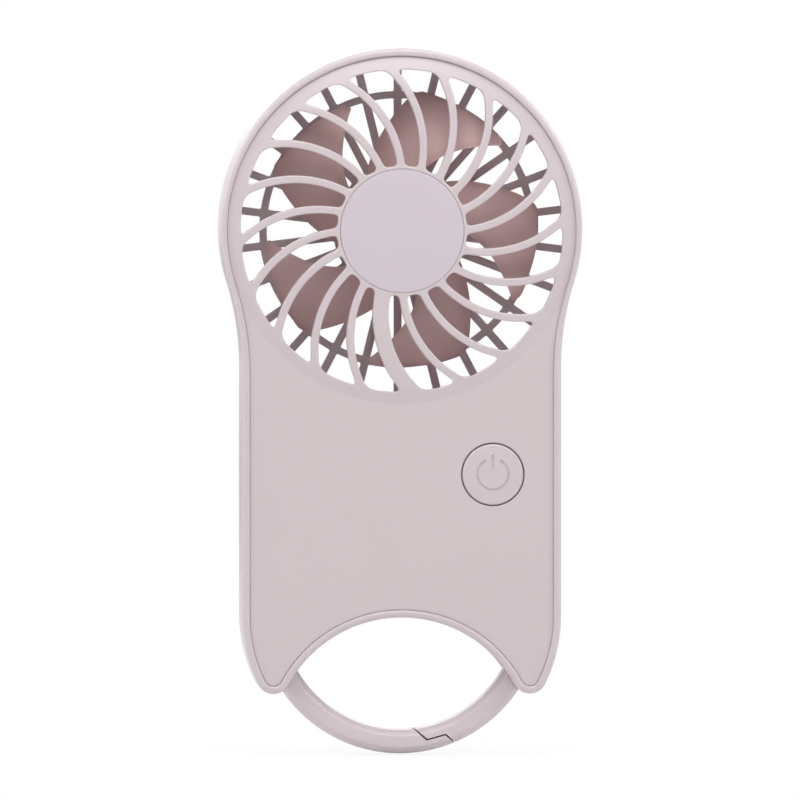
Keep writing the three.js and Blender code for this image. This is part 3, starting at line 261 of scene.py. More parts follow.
class MeshBuilder:
    """Collects places in millimetres and faces, and writes them as one mesh in metres."""

    def __init__(self) -> None:
        """Starts with no places and no faces."""
        self.places: list[Place] = []
        self.faces: list[tuple[int, ...]] = []

    def add(self, places: Iterable[Place]) -> list[int]:
        """Adds places.

        Args:
            places: The new places.

        Returns:
            Their indices.
        """
        first = len(self.places)
        self.places.extend(places)
        return list(range(first, len(self.places)))

    def loop(self, outline: Sequence[Point], depth: Depth) -> list[int]:
        """Adds a ring of places.

        Args:
            outline: Points in the XZ plane.
            depth: The Y of every point, or a rule that gives it.

        Returns:
            The indices of the new places.
        """
        return self.add((x, depth((x, z)) if callable(depth) else depth, z) for x, z in outline)

    def bridge(self, rings: Sequence[Sequence[int]], closed: bool = True) -> None:
        """Joins rings of equal counts with quads, one after another.

        Args:
            rings: The rings' indices.
            closed: Whether each ring's last point joins its first one.
        """
        for lower, upper in zip(rings, rings[1:]):
            count = len(lower)
            for i in range(count if closed else count - 1):
                j = (i + 1) % count
                self.faces.append((lower[i], lower[j], upper[j], upper[i]))

    def stack(self, levels: Iterable[Level]) -> None:
        """Adds outlines at their depths and joins them one after another."""
        self.bridge([self.loop(outline, depth) for outline, depth in levels])

    def fill(self, outlines: Sequence[Sequence[Point]], y: float) -> None:
        """Fills a flat outline at one depth.

        Args:
            outlines: The outline, then the holes in it.
            y: The depth.
        """
        first = self.add((x, y, z) for outline in outlines for x, z in outline)[0]
        loops = [[Vector((x, z, 0.0)) for x, z in outline] for outline in outlines]
        for triangle in tessellate_polygon(loops):
            self.faces.append(tuple(first + i for i in triangle))

    def lathe(self, profile: Sequence[Point], centre: Point, steps: int, turn: float = 0.0) -> None:
        """Turns a profile of radius and Y round a Y axis; it may start and end on the axis."""
        self.stack((circle(centre, radius, steps, turn), y) for radius, y in profile)

    def build(self, name: str, sharp: float = PLAIN_SHARP) -> Object:
        """Writes the mesh and links its object.

        Args:
            name: The object's name.
            sharp: The angle in degrees past which an edge is sharp.

        Returns:
            The object, at the origin.
        """
        mesh = bpy.data.meshes.new(name)
        mesh.from_pydata([tuple(value * MM for value in place) for place in self.places], [], self.faces)
        return finished(mesh, name, sharp)


def linked(name: str, data: bpy.types.ID) -> Object:
    """Makes an object and links it to the scene.

    Args:
        name: The object's name.
        data: Its mesh, light or camera.

    Returns:
        The object.
    """
    item = bpy.data.objects.new(name, data)
    bpy.context.scene.collection.objects.link(item)
    return item


def finished(mesh: Mesh, name: str, sharp: float = PLAIN_SHARP, merge: float = 0.002) -> Object:
    """Merges doubles, turns the faces outwards, sets the shading and links an object.

    Args:
        mesh: The mesh.
        name: The object's name.
        sharp: The angle in degrees past which an edge is sharp.
        merge: The distance in millimetres within which places merge.

    Returns:
        The object, at the origin.
    """
    work = bmesh.new()
    work.from_mesh(mesh)
    bmesh.ops.remove_doubles(work, verts=work.verts, dist=merge * MM)
    bmesh.ops.dissolve_degenerate(work, edges=work.edges, dist=merge * MM / 2)
    bmesh.ops.recalc_face_normals(work, faces=work.faces)
    work.to_mesh(mesh)
    work.free()
    mesh.shade_smooth()
    mesh.set_sharp_from_angle(angle=math.radians(sharp))
    return linked(name, mesh)


def evaluated(item: Object, name: str, sharp: float = PLAIN_SHARP) -> Object:
    """Replaces an object by a plain copy with its modifiers applied.

    Args:
        item: The object, which is removed.
        name: The copy's name.
        sharp: The angle in degrees past which an edge is sharp.

    Returns:
        The copy.
    """
    bpy.context.view_layer.update()
    graph = bpy.context.evaluated_depsgraph_get()
    mesh = bpy.data.meshes.new_from_object(item.evaluated_get(graph))
    bpy.data.objects.remove(item)
    return finished(mesh, name, sharp)


def boolean(item: Object, other: Object, operation: str) -> Object:
    """Cuts, joins or crosses an object with another one.

    Args:
        item: The object, which is used up.
        other: The other one, which is used up too.
        operation: The modifier's operation.

    Returns:
        The result, under the first object's name.
    """
    name = item.name
    modifier = item.modifiers.new("cut", "BOOLEAN")
    modifier.operation = operation
    modifier.solver = "EXACT"
    modifier.object = other
    item.name = name + "_before"
    result = evaluated(item, name, CUT_SHARP)
    bpy.data.objects.remove(other)
    return result


def combined(items: Sequence[Object], name: str, sharp: float = PLAIN_SHARP) -> Object:
    """Puts several plain objects into one.

    Args:
        items: The objects, which are used up.
        name: The result's name.
        sharp: The angle in degrees past which an edge is sharp.

    Returns:
        The result.
    """
    work = bmesh.new()
    for item in items:
        work.from_mesh(item.data)
        bpy.data.objects.remove(item)
    mesh = bpy.data.meshes.new(name)
    work.to_mesh(mesh)
    work.free()
    return finished(mesh, name, sharp)


def prism(name: str, outline: Sequence[Point], rear_y: float, front_y: float) -> Object:
    """A flat outline given depth.

    Args:
        name: The object's name.
        outline: The outline.
        rear_y: Where it ends behind.
        front_y: Where it ends in front.

    Returns:
        The closed object.
    """
    builder = MeshBuilder()
    builder.stack([(outline, front_y), (outline, rear_y)])
    builder.fill([outline], front_y)
    builder.fill([outline], rear_y)
    return builder.build(name)


def tube(name: str, centre: Point, radii: Point, rear_y: float, front_y: float) -> Object:
    """A tube along Y.

    Args:
        name: The object's name.
        centre: The middle's X and Z.
        radii: The outer and the inner radius; an inner radius of zero makes a bar.
        rear_y: Where it ends behind.
        front_y: Where it ends in front.

    Returns:
        The closed object.
    """
    outer, inner = radii
    profile = [(inner, front_y), (outer, front_y), (outer, rear_y), (inner, rear_y)]
    builder = MeshBuilder()
    builder.lathe([*profile, profile[0]] if inner else profile, centre, TUBE_STEPS)
    return builder.build(name)


# Nodes


class Wiring:
    """Adds nodes to one tree and links them."""

    def __init__(self, tree: NodeTree) -> None:
        """Keeps the tree."""
        self.tree = tree

    def socket(self, name: str, kind: str, way: str = "INPUT", value: object = None) -> str:
        """Adds a socket to the tree's interface.

        Args:
            name: The socket's name.
            kind: The kind of value, as in the type's name.
            way: INPUT or OUTPUT.
            value: The value that it has unlinked.

        Returns:
            The socket's identifier.
        """
        made = self.tree.interface.new_socket(name, in_out=way, socket_type="NodeSocket" + kind)
        if value is not None:
            made.default_value = value
        return made.identifier

    def feed(self, node: Node, inputs: dict[str | int, object]) -> None:
        """Sets inputs of a node to values, or links outputs to them.

        Args:
            node: The node.
            inputs: A value or an output for each named or numbered input.
        """
        for key, value in inputs.items():
            if isinstance(value, NodeSocket):
                self.tree.links.new(value, node.inputs[key])
            else:
                node.inputs[key].default_value = value

    def node(self, kind: str, inputs: dict[str | int, object] | None = None, **settings: object) -> Node:
        """Adds a node.

        Args:
            kind: The node's type.
            inputs: Values and outputs for its inputs.
            settings: Its own options.

        Returns:
            The node.
        """
        made = self.tree.nodes.new(kind)
        for name, value in settings.items():
            setattr(made, name, value)
        self.feed(made, inputs or {})
        return made

    def maths(self, operation: str, *values: object) -> NodeSocket:
        """Adds a math node for an operation on values or outputs, and gives its result."""
        return self.node("ShaderNodeMath", dict(enumerate(values)), operation=operation).outputs[0]


class Repeater:
    """A Geometry Nodes tree that copies a template to points and gives the copies a material."""

    NAME = ""
    INPUTS: dict[str, str] = {}

    def __init__(self) -> None:
        """Builds the tree once."""
        self.tree = bpy.data.node_groups.new(self.NAME, "GeometryNodeTree")
        wires = Wiring(self.tree)
        wires.socket("Geometry", "Geometry")
        self.sockets = {name: wires.socket(name, kind) for name, kind in self.INPUTS.items()}
        self.sockets["Material"] = wires.socket("Material", "Material")
        wires.socket("Geometry", "Geometry", "OUTPUT")
        given = wires.node("NodeGroupInput").outputs
        copies = wires.node("GeometryNodeInstanceOnPoints", self.spread(wires, given))
        real = wires.node("GeometryNodeRealizeInstances", {0: copies.outputs[0]})
        dress = wires.node(
            "GeometryNodeSetMaterial", {"Geometry": real.outputs[0], "Material": given["Material"]},
        )
        wires.node("NodeGroupOutput", {0: dress.outputs[0]})

    def spread(self, wires: Wiring, given: Sequence[NodeSocket]) -> dict[str | int, object]:
        """What the copies are made from: their points, the template and their turn."""
        raise NotImplementedError

    def apply(self, item: Object, name: str, values: dict[str, object]) -> Object:
        """Runs the tree on an object.

        Args:
            item: The object, which is used up.
            name: The result's name.
            values: The tree's inputs.

        Returns:
            One plain object with all the copies.
        """
        modifier = item.modifiers.new("repeat", "NODES")
        modifier.node_group = self.tree
        for key, value in values.items():
            modifier[self.sockets[key]] = value
        return evaluated(item, name)


class RadialArray(Repeater):
    """Repeats a template round a Y axis."""

    NAME = "radial_array"
    INPUTS = {"Count": "Int", "Pitch": "Float", "Centre": "Vector"}

    def spread(self, wires: Wiring, given: Sequence[NodeSocket]) -> dict[str | int, object]:
        """Points that share the axis, each with its own turn.

        Args:
            wires: The tree's nodes.
            given: The tree's inputs.

        Returns:
            What the node that makes the copies is fed with.
        """
        line = wires.node("GeometryNodeMeshLine", {
            "Count": given["Count"], "Start Location": given["Centre"], "Offset": (0.0, 0.0, 0.0),
        })
        index = wires.node("GeometryNodeInputIndex").outputs[0]
        angle = wires.maths("MULTIPLY", index, given["Pitch"])
        turn = wires.node("ShaderNodeCombineXYZ", {"Y": angle})
        return {
            "Points": line.outputs["Mesh"], "Instance": given["Geometry"], "Rotation": turn.outputs[0],
        }

    def repeat(self, template: Object, name: str, count: int, pitch: float, material: Material) -> Object:
        """Repeats a template, modelled round the origin, round the fan's axis.

        Args:
            template: The object to repeat, which is used up.
            name: The result's name.
            count: How many copies.
            pitch: The angle between copies, counter-clockwise seen from the front.
            material: The material that the copies get.

        Returns:
            One plain object with all the copies.
        """
        return self.apply(template, name, {
            "Count": count, "Pitch": -pitch, "Centre": (AXIS[0] * MM, 0.0, AXIS[1] * MM),
            "Material": material,
        })


class PlacedCopies(Repeater):
    """Puts a copy of a template on each point of a mesh."""

    NAME = "placed_copies"
    INPUTS = {"Template": "Object"}

    def spread(self, wires: Wiring, given: Sequence[NodeSocket]) -> dict[str | int, object]:
        """The mesh's own points."""
        model = wires.node("GeometryNodeObjectInfo", {"Object": given["Template"]})
        return {"Points": given["Geometry"], "Instance": model.outputs["Geometry"]}

    def place(self, template: Object, name: str, places: Sequence[Point], material: Material) -> Object:
        """Copies a template, modelled at the origin, to places in the XZ plane.

        Args:
            template: The object to copy, which is used up.
            name: The result's name.
            places: The X and Z of each copy.
            material: The material that the copies get.

        Returns:
            One plain object with all the copies.
        """
        mesh = bpy.data.meshes.new("points")
        mesh.from_pydata([(x * MM, 0.0, z * MM) for x, z in places], [], [])
        result = self.apply(linked("points", mesh), name, {"Template": template, "Material": material})
        bpy.data.objects.remove(template)
        return result


# Finishes


class MouldedSurface:
    """A shader node group: the faint mottling and fine texture of moulded plastic."""

    CLOUD_SIZE = 45.0
    CLOUD_DETAIL = 3.0
    GRAIN_DETAIL = 2.0

    def __init__(self) -> None:
        """Builds the group once."""
        self.group = bpy.data.node_groups.new("moulded_surface", "ShaderNodeTree")
        wires = Wiring(self.group)
        wires.socket("Colour", "Color", value=(0.6, 0.6, 0.6, 1.0))
        wires.socket("Mottle", "Float", value=0.02)
        wires.socket("Grain Size", "Float", value=3000.0)
        wires.socket("Roughness", "Float", value=0.4)
        wires.socket("Roughness Spread", "Float", value=0.05)
        wires.socket("Colour", "Color", "OUTPUT")
        wires.socket("Roughness", "Float", "OUTPUT")
        wires.socket("Height", "Float", "OUTPUT")
        given = wires.node("NodeGroupInput").outputs
        place = wires.node("ShaderNodeTexCoord").outputs["Object"]
        cloud = wires.node("ShaderNodeTexNoise", {
            "Vector": place, "Scale": self.CLOUD_SIZE, "Detail": self.CLOUD_DETAIL,
        })
        grain = wires.node("ShaderNodeTexNoise", {
            "Vector": place, "Scale": given["Grain Size"], "Detail": self.GRAIN_DETAIL,
        })
        patch = wires.maths("SUBTRACT", cloud.outputs["Fac"], 0.5)
        speck = wires.maths("SUBTRACT", grain.outputs["Fac"], 0.5)
        both = wires.maths("ADD", patch, speck)
        shade = wires.maths("MULTIPLY_ADD", both, given["Mottle"], 1.0)
        tint = wires.node("ShaderNodeVectorMath", {0: given["Colour"], "Scale": shade}, operation="SCALE")
        gloss = wires.maths("MULTIPLY_ADD", patch, given["Roughness Spread"], given["Roughness"])
        wires.node("NodeGroupOutput", {
            "Colour": tint.outputs[0], "Roughness": gloss, "Height": grain.outputs["Fac"],
        })


def srgb(colour: tuple[int, int, int]) -> tuple[float, float, float, float]:
    """Turns screen values into a linear colour.

    Args:
        colour: Red, green and blue from 0 to 255.

    Returns:
        The linear colour, opaque.
    """
    shares = (value / 255.0 for value in colour)
    red, green, blue = (s / 12.92 if s <= 0.04045 else ((s + 0.055) / 1.055) ** 2.4 for s in shares)
    return (red, green, blue, 1.0)


@dataclass(frozen=True)
class Finish:
    """What every finish has, and the node material that all of them share."""

    slot: str
    colour: tuple[int, int, int]
    roughness: float

    def start(self, surface: MouldedSurface) -> tuple[Material, Wiring, Node]:
        """Starts the node material with the shared surface group.

        Args:
            surface: The group.

        Returns:
            The material, its wiring and the placed group.
        """
        item = bpy.data.materials.new(self.slot)
        item.use_nodes = True
        wires = Wiring(item.node_tree)
        group = wires.node("ShaderNodeGroup", node_tree=surface.group)
        wires.feed(group, {"Colour": srgb(self.colour), "Roughness": self.roughness})
        return item, wires, group

    def dress(self, wires: Wiring, group: Node, height: NodeSocket, bump: Point, **inputs: float) -> None:
        """Feeds the shader.

        Args:
            wires: The material's wiring.
            group: The placed group.
            height: What the bump reads.
            bump: The bump's strength and distance in metres.
            inputs: The shader's plain values, by their names with low lines for spaces.
        """
        relief = wires.node(
            "ShaderNodeBump", {"Strength": bump[0], "Distance": bump[1], "Height": height},
        )
        plain = {name.replace("_", " "): value for name, value in inputs.items()}
        wires.feed(wires.tree.nodes["Principled BSDF"], {
            "Base Color": group.outputs["Colour"], "Roughness": group.outputs["Roughness"],
            "Normal": relief.outputs["Normal"], **plain,
        })


@dataclass(frozen=True)
class PlasticFinish(Finish):
    """A moulded plastic: its colour, gloss and texture."""

    mottle: float = 0.02
    grain_size: float = 3200.0
    grain_height: float = 0.00001
    specular: float = 0.5
    strength: float = 0.6

    def material(self, surface: MouldedSurface) -> Material:
        """Builds the node material.

        Args:
            surface: The shared surface group.

        Returns:
            The material.
        """
        item, wires, group = self.start(surface)
        wires.feed(group, {"Mottle": self.mottle, "Grain Size": self.grain_size})
        bump = (self.strength, self.grain_height)
        self.dress(wires, group, group.outputs["Height"], bump, Specular_IOR_Level=self.specular)
        return item


@dataclass(frozen=True)
class MetalFinish(Finish):
    """A metal: its colour and how its surface was worked."""

    stretch: Place = (1.0, 1.0, 1.0)
    line_size: float = 2500.0
    mottle: float = 0.08
    spread: float = 0.2
    bump: Point = (0.4, 0.000008)

    def material(self, surface: MouldedSurface) -> Material:
        """Builds the node material; its lines run along the axis with the smallest stretch.

        Args:
            surface: The shared surface group.

        Returns:
            The material.
        """
        item, wires, group = self.start(surface)
        wires.feed(group, {"Mottle": self.mottle, "Roughness Spread": self.spread})
        place = wires.node("ShaderNodeTexCoord").outputs["Object"]
        mapping = wires.node("ShaderNodeMapping", {"Vector": place, "Scale": self.stretch})
        lines = wires.node(
            "ShaderNodeTexNoise", {"Vector": mapping.outputs["Vector"], "Scale": self.line_size},
        )
        self.dress(wires, group, lines.outputs["Fac"], self.bump, Metallic=1.0)
        return item


class Wardrobe:
    """The finishes by the record's material slots."""

    FINISHES = (
        PlasticFinish("case_plastic", (204, 192, 195), 0.3),
        PlasticFinish("badge_plastic", (202, 191, 199), 0.5, 0.05, 2600.0, 0.00003),
        PlasticFinish("clip_plastic", (212, 200, 203), 0.3),
        PlasticFinish("blade_plastic", (206, 173, 172), 0.6),
        MetalFinish("steel", (184, 184, 188), 0.28),
        MetalFinish("brass", (200, 168, 95), 0.3, (1.0, 12.0, 1.0)),
        MetalFinish("copper", (184, 108, 62), 0.3, (1.0, 20.0, 1.0)),
        PlasticFinish("ferrite", (56, 56, 59), 0.6, 0.1),
        MetalFinish("laminate", (141, 143, 148), 0.4, (1.0, 25.0, 1.0)),
        PlasticFinish("circuit_board", (46, 107, 69), 0.35, 0.05),
        PlasticFinish("black_plastic", (38, 38, 41), 0.4, 0.05),
        PlasticFinish("foam", (86, 86, 89), 0.9, 0.15, 1800.0, 0.0001, 0.2),
        MetalFinish("foil", (199, 201, 204), 0.35, (3.0, 1.0, 1.0), 300.0),
        PlasticFinish("red_insulation", (178, 38, 43), 0.3),
        PlasticFinish("black_insulation", (33, 33, 36), 0.3),
        PlasticFinish("clear_lens", (232, 237, 240), 0.25),
    )

    def __init__(self) -> None:
        """Builds every slot's material."""
        surface = MouldedSurface()
        self.materials = {finish.slot: finish.material(surface) for finish in self.FINISHES}

    def dress(self, item: Object, slot: str) -> None:
        """Gives an object one slot's material and nothing else.

        Args:
            item: The object.
            slot: The slot's name.
        """
        item.data.materials.clear()
        item.data.materials.append(self.materials[slot])
        for face in item.data.polygons:
            face.material_index = 0


# The case


@dataclass
class CaseOutline:
    """The case's outline seen from the front: a round head, a body and two legs round an arch."""

    head_radius: float = 38.45
    rise: float = 0.45
    half_width: float = 33.95
    neck_radius: float = 60.0
    leg_radius: float = 32.0
    leg_z: float = -16.0
    tip_radius: float = 3.6
    arch_radius: float = 27.5
    arch_top_z: float = -16.1
    chamfer: float = 0.25
    head_steps: int = 120
    arch_steps: int = 30
    small_steps: int = 14

    def at(
        self, side: float, arch: float | None = None, tip: float | None = None, head: float | None = None,
    ) -> list[Point]:
        """The outline drawn in, always with the same number of points.

        Args:
            side: How far the sides and the head are drawn in.
            arch: How far the arch is drawn in; as the sides if it isn't given.
            tip: The radius of the legs' tips.
            head: The radius of a head round the fan's axis; the case's own head, which stands a
                little higher, if it isn't given.

        Returns:
            Points from the arch's top, counter-clockwise seen from the front.
        """
        arch = side if arch is None else arch
        tip = self.tip_radius - side if tip is None else tip
        centre_z = AXIS[1] + (self.rise if head is None else 0.0)
        head = self.head_radius - side if head is None else head
        neck_x = self.half_width + self.neck_radius
        neck_drop = math.sqrt((head + side + self.neck_radius) ** 2 - neck_x ** 2)
        neck_angle = math.atan2(neck_drop, neck_x)
        leg_x = self.half_width - self.leg_radius
        arch_z = self.arch_top_z - self.arch_radius
        to_leg = self.leg_radius - side - tip
        to_arch = self.arch_radius + arch + tip
        apart_z = self.leg_z - arch_z
        apart = math.hypot(leg_x, apart_z)
        along = (to_arch ** 2 - to_leg ** 2 + apart ** 2) / (2 * apart)
        aside = math.sqrt(to_arch ** 2 - along ** 2)
        tip_x = (along * leg_x + aside * apart_z) / apart
        tip_z = arch_z + (along * apart_z - aside * leg_x) / apart
        leg_end = math.atan2(tip_z - self.leg_z, tip_x - leg_x)
        arch_end = math.atan2(tip_z - arch_z, tip_x)
        neck = (neck_x, centre_z - neck_drop)
        few = self.small_steps
        right = [
            *arc((0.0, arch_z), self.arch_radius + arch, QUARTER, arch_end, self.arch_steps),
            *arc((tip_x, tip_z), tip, arch_end - math.pi, leg_end, few)[1:],
            *arc((leg_x, self.leg_z), self.leg_radius - side, leg_end, 0.0, few)[1:],
            *arc(neck, self.neck_radius + side, math.pi, math.pi - neck_angle, few),
            *arc((0.0, centre_z), head, -neck_angle, QUARTER, self.head_steps)[1:],
        ]
        return right + [(-x, z) for x, z in reversed(right[1:-1])]

    def parting_edge(self, y: float, way: int) -> list[Level]:
        """The soft outer edge at the parting line.

        Args:
            y: The parting face.
            way: Where the wall goes on to along Y, 1 or -1.

        Returns:
            Outlines at their depths.
        """
        shares = ((1.0, 0.0), (0.3, 0.3), (0.0, 1.0), (0.0, 2.0))
        return [(self.at(self.chamfer * inset), y + way * self.chamfer * deep) for inset, deep in shares]


@dataclass
class Sheet:
    """The two faces of a flat or domed sheet, with the rounding of its openings' edges."""

    outside: Callable[[float], float]
    inside: float
    edge: float = 0.28
    inner_edge: float = 0.15
    rounding: int = 4
    lip_share: float = 0.6

    def add_cell(self, builder: MeshBuilder, outer: Sequence[Point], opening: Sequence[Point]) -> None:
        """Adds the sheet between a cell's outer loop and its opening, with rounded edges.

        Args:
            builder: The mesh that it goes into.
            outer: The cell's loop, shared with its neighbours.
            opening: The opening's loop, with matching points.
        """
        side = math.copysign(1.0, self.inside - self.outside(0.0))

        def front(point: Point) -> float:
            """The outside's Y at a point."""
            return self.outside(math.hypot(*point))

        lip = [between(a, b, self.lip_share) for a, b in zip(outer, grown(opening, self.edge))]
        levels: list[Level] = [(outer, front), (lip, front)]
        for drop, reach in quarter_round(self.edge, self.rounding):
            levels.append((grown(opening, reach), lambda point, drop=drop: front(point) + side * drop))
        for reach, rest in quarter_round(self.inner_edge, self.rounding // 2):
            levels.append((grown(opening, reach), self.inside - side * rest))
        builder.stack([*levels, (outer, self.inside)])


@dataclass
class GrilleCell:
    """The counts of points on the sides of one cell of a grille.

    A cell's outer loop and its opening's loop have matching points, so rings between them
    make an even mesh, and neighbouring cells share their outer points.
    """

    side_steps: int = 18
    inner_steps: int = 8
    outer_steps: int = 12

    def loop(self, radii: Point, near: Edge, far: Edge) -> list[Point]:
        """A plain four-sided loop round the origin.

        Args:
            radii: The inner and the outer radius.
            near: The first edge's angle at a radius.
            far: The second edge's angle at a radius.

        Returns:
            Points out along the near edge, across, back along the far edge and across.
        """
        inner, outer = radii
        corners = ((inner, near), (outer, near), (outer, far), (inner, far), (inner, near))
        counts = (self.side_steps, self.outer_steps, self.side_steps, self.inner_steps)
        points = []
        for count, (start, before), (end, after) in zip(counts, corners, corners[1:]):
            for i in range(count):
                radius = lerp(start, end, i / count)
                points.append(polar(ORIGIN, radius, lerp(before(radius), after(radius), i / count)))
        return points

    def rounded(self, loop: Sequence[Point], inner_corner: float, outer_corner: float) -> list[Point]:
        """A loop with its four corners rounded, count and order kept.

        Args:
            loop: Points from loop().
            inner_corner: How far from an inner corner the rounding starts.
            outer_corner: How far from an outer corner the rounding starts.

        Returns:
            The rounded loop.
        """
        second = self.side_steps
        third = second + self.outer_steps
        fourth = third + self.side_steps
        inner, outer = ((0, fourth), inner_corner), ((second, third), outer_corner)
        result = list(loop)
        for corner, reach in [(corner, reach) for corners, reach in (inner, outer) for corner in corners]:
            start, steps_back = walk(loop, corner, -1, reach)
            end, steps_on = walk(loop, corner, 1, reach)
            total = steps_back + steps_on
            for step in range(total + 1):
                index = (corner + step - steps_back) % len(loop)
                result[index] = bend(start, loop[corner], end, step / total)
        return result


FLARE_PAST = 4


def side_bar(name: str, section: tuple[Point, float], middle: Point, reach: Point, flare: float) -> Object:
    """A bar along X with a rounded section that flares out at its far end, to cut a side wall.

    Args:
        name: The object's name.
        section: The section's depth and height, and the radius of its corners.
        middle: The section's middle along Y and Z.
        reach: The bar's two ends along X; the flare starts at the second one.
        flare: The width of the flare, which slopes at 45 degrees.

    Returns:
        The cutter.
    """
    builder = MeshBuilder()
    past = FLARE_PAST * flare
    rings = []
    for x, grow in ((reach[0], 0.0), (reach[1], 0.0), (reach[1] + past, past)):
        box = rounded_box(*section, grow)
        rings.append(builder.add((x, middle[0] + y, middle[1] + z) for y, z in box))
    builder.bridge(rings)
    builder.faces += [tuple(rings[0]), tuple(rings[-1])]
    return builder.build(name)


@dataclass
class Hoop:
    """Sizes and places of the clip hoop, whose angles are taken from straight down towards +X."""

    centre: Point = (0.0, -15.0)
    radius: float = 27.8
    half_width: float = 2.55
    front_y: float = -14.0
    rear_y: float = -6.0
    chamfer: float = 1.3
    eye_angle: float = math.radians(-95.0)
    eye_inset: float = 1.25
    eye_radius: float = 4.2
    eye_bore: float = 2.9
    pin_bore: float = 1.3
    slot_near: float = math.radians(48.0)
    slot_far: float = math.radians(76.0)
    pivot_angle: float = math.radians(69.5)
    open_angle: float = math.radians(32.0)
    gap: float = 0.3
    open_steps: int = 8
    root_steps: int = 6
    hub_steps: int = 24
    room_steps: int = 16

    @property
    def inner(self) -> float:
        """The hoop's inner radius."""
        return self.radius - self.half_width

    @property
    def outer(self) -> float:
        """The hoop's outer radius."""
        return self.radius + self.half_width

    @property
    def pivot(self) -> Point:
        """The middle of the gate's pin."""
        return self.at(self.radius, self.pivot_angle)

    @property
    def eye(self) -> Point:
        """The middle of the hoop's fixed eye."""
        return self.at(self.radius - self.eye_inset, self.eye_angle)

    def at(self, radius: float, angle: float) -> Point:
        """A point of the hoop's plane at a radius and an angle from straight down."""
        return polar(self.centre, radius, angle - QUARTER)

    def sector(self, near: float, far: float, steps: int) -> list[Point]:
        """Part of the hoop's band, wider by the gap, between two angles."""
        ends = (near - QUARTER, far - QUARTER)
        return ring_sector(self.centre, self.inner - self.gap, self.outer + self.gap, *ends, steps)

    def gate_room(self) -> Object:
        """The room that the gate's root swings through.

        Returns:
            The cutter.
        """
        root = self.sector(self.slot_near, self.pivot_angle, self.root_steps)
        points = circle(self.pivot, self.half_width + self.gap, self.hub_steps)
        for step in range(self.open_steps + 1):
            turn = -self.open_angle * step / self.open_steps
            points += [turned(point, self.pivot, turn) for point in root]
        work = bmesh.new()
        for y in (self.front_y - self.gap, self.rear_y + self.gap):
            for x, z in points:
                work.verts.new((x * MM, y * MM, z * MM))
        hull = bmesh.ops.convex_hull(work, input=work.verts)
        spare = {item for key in ("geom_interior", "geom_unused") for item in hull[key]}
        loose = [vertex for vertex in work.verts if vertex in spare or not vertex.link_faces]
        bmesh.ops.delete(work, geom=loose, context="VERTS")
        mesh = bpy.data.meshes.new("gate_room")
        work.to_mesh(mesh)
        work.free()
        return finished(mesh, "gate_room")

    def fixed_room(self) -> Object:
        """The room that the hoop's fixed end takes up, as a cutter."""
        outline = self.sector(-self.slot_far, -self.slot_near, self.room_steps)
        return prism("fixed_room", outline, self.rear_y + self.gap, self.front_y - self.gap)


@dataclass
class Sides:
    """What the case's sides leave open: the charging port, the lamp and the hoop's two rooms."""

    port: tuple[Point, float] = ((3.8, 9.54), 1.4)
    port_middle: Point = (-12.2, 3.0)
    port_inner_x: float = 25.95
    lamp_radius: float = 1.3
    lamp_middle: Point = (-11.9, 13.0)
    lamp_inner_x: float = 27.15
    flare: float = 0.25

    def cutters(self, wall_x: float, hoop: Hoop) -> list[Object]:
        """The cutters for one half of the case.

        Args:
            wall_x: The right side's outer face.
            hoop: The hoop.

        Returns:
            The cutters.
        """
        mouth_x = wall_x - self.flare
        lamp = ((2 * self.lamp_radius, 2 * self.lamp_radius), self.lamp_radius)
        return [
            side_bar("port_room", self.port, self.port_middle, (self.port_inner_x, mouth_x), self.flare),
            side_bar("lamp_room", lamp, self.lamp_middle, (self.lamp_inner_x, mouth_x), self.flare / 2),
            hoop.gate_room(), hoop.fixed_room(),
        ]


@dataclass
class Screws:
    """The four case screws: their sizes, places and looks."""

    upper: Point = (28.05, 33.0)
    head_radius: float = 2.1
    head_y: float = -0.3
    head_height: float = 1.3
    head_crown: float = 0.25
    shank_radius: float = 0.9
    length: float = 15.0
    point_length: float = 1.0
    point_radius: float = 0.2
    cross_length: float = 2.415
    cross_width: float = 0.6
    cross_depth: float = 0.55
    cross_past: float = 0.2
    cross_flare: Point = (1.12, 0.7)
    crown_steps: int = 6
    steps: int = 64

    def places(self, hoop: Hoop) -> list[Point]:
        """The screws' middles: two at the hoop's height and two at the neck."""
        x, z = hoop.eye
        return [(x, z), (-x, z), (-self.upper[0], self.upper[1]), self.upper]

    def template(self) -> Object:
        """One screw on the Y axis through the origin.

        Returns:
            The screw.
        """
        builder = MeshBuilder()
        head_rear = self.head_y - self.head_height
        tip = self.head_y - self.length
        crown = quarter_round(self.head_crown, self.crown_steps)
        profile = [
            (0.0, self.head_y), *((self.head_radius - back, self.head_y - drop) for drop, back in crown),
            (self.head_radius, head_rear), (self.shank_radius, head_rear),
            (self.shank_radius, tip + self.point_length), (self.point_radius, tip), (0.0, tip),
        ]
        builder.lathe(profile, ORIGIN, self.steps)
        screw = builder.build("screw")
        for turn in (0.0, QUARTER):
            screw = boolean(screw, self.cross(turn), "DIFFERENCE")
        return screw

    def cross(self, turn: float) -> Object:
        """One bar of the cross, narrower at its floor.

        Args:
            turn: The bar's angle.

        Returns:
            The cutter.
        """
        builder = MeshBuilder()
        levels = []
        depths = (self.head_y + self.cross_past, self.head_y - self.cross_depth)
        for y, share in zip(depths, self.cross_flare):
            half, reach = self.cross_width / 2 * share, self.cross_length / 2 * share
            corners = [(-reach, -half), (reach, -half), (reach, half), (-reach, half)]
            levels.append(([turned(corner, ORIGIN, turn) for corner in corners], y))
        builder.stack(levels)
        for outline, y in levels:
            builder.fill([outline], y)
        return builder.build("cross_bar")

    def build(self, copies: PlacedCopies, hoop: Hoop, steel: Material) -> Object:
        """Builds all four screws as one object."""
        return copies.place(self.template(), "case_screw_skins", self.places(hoop), steel)


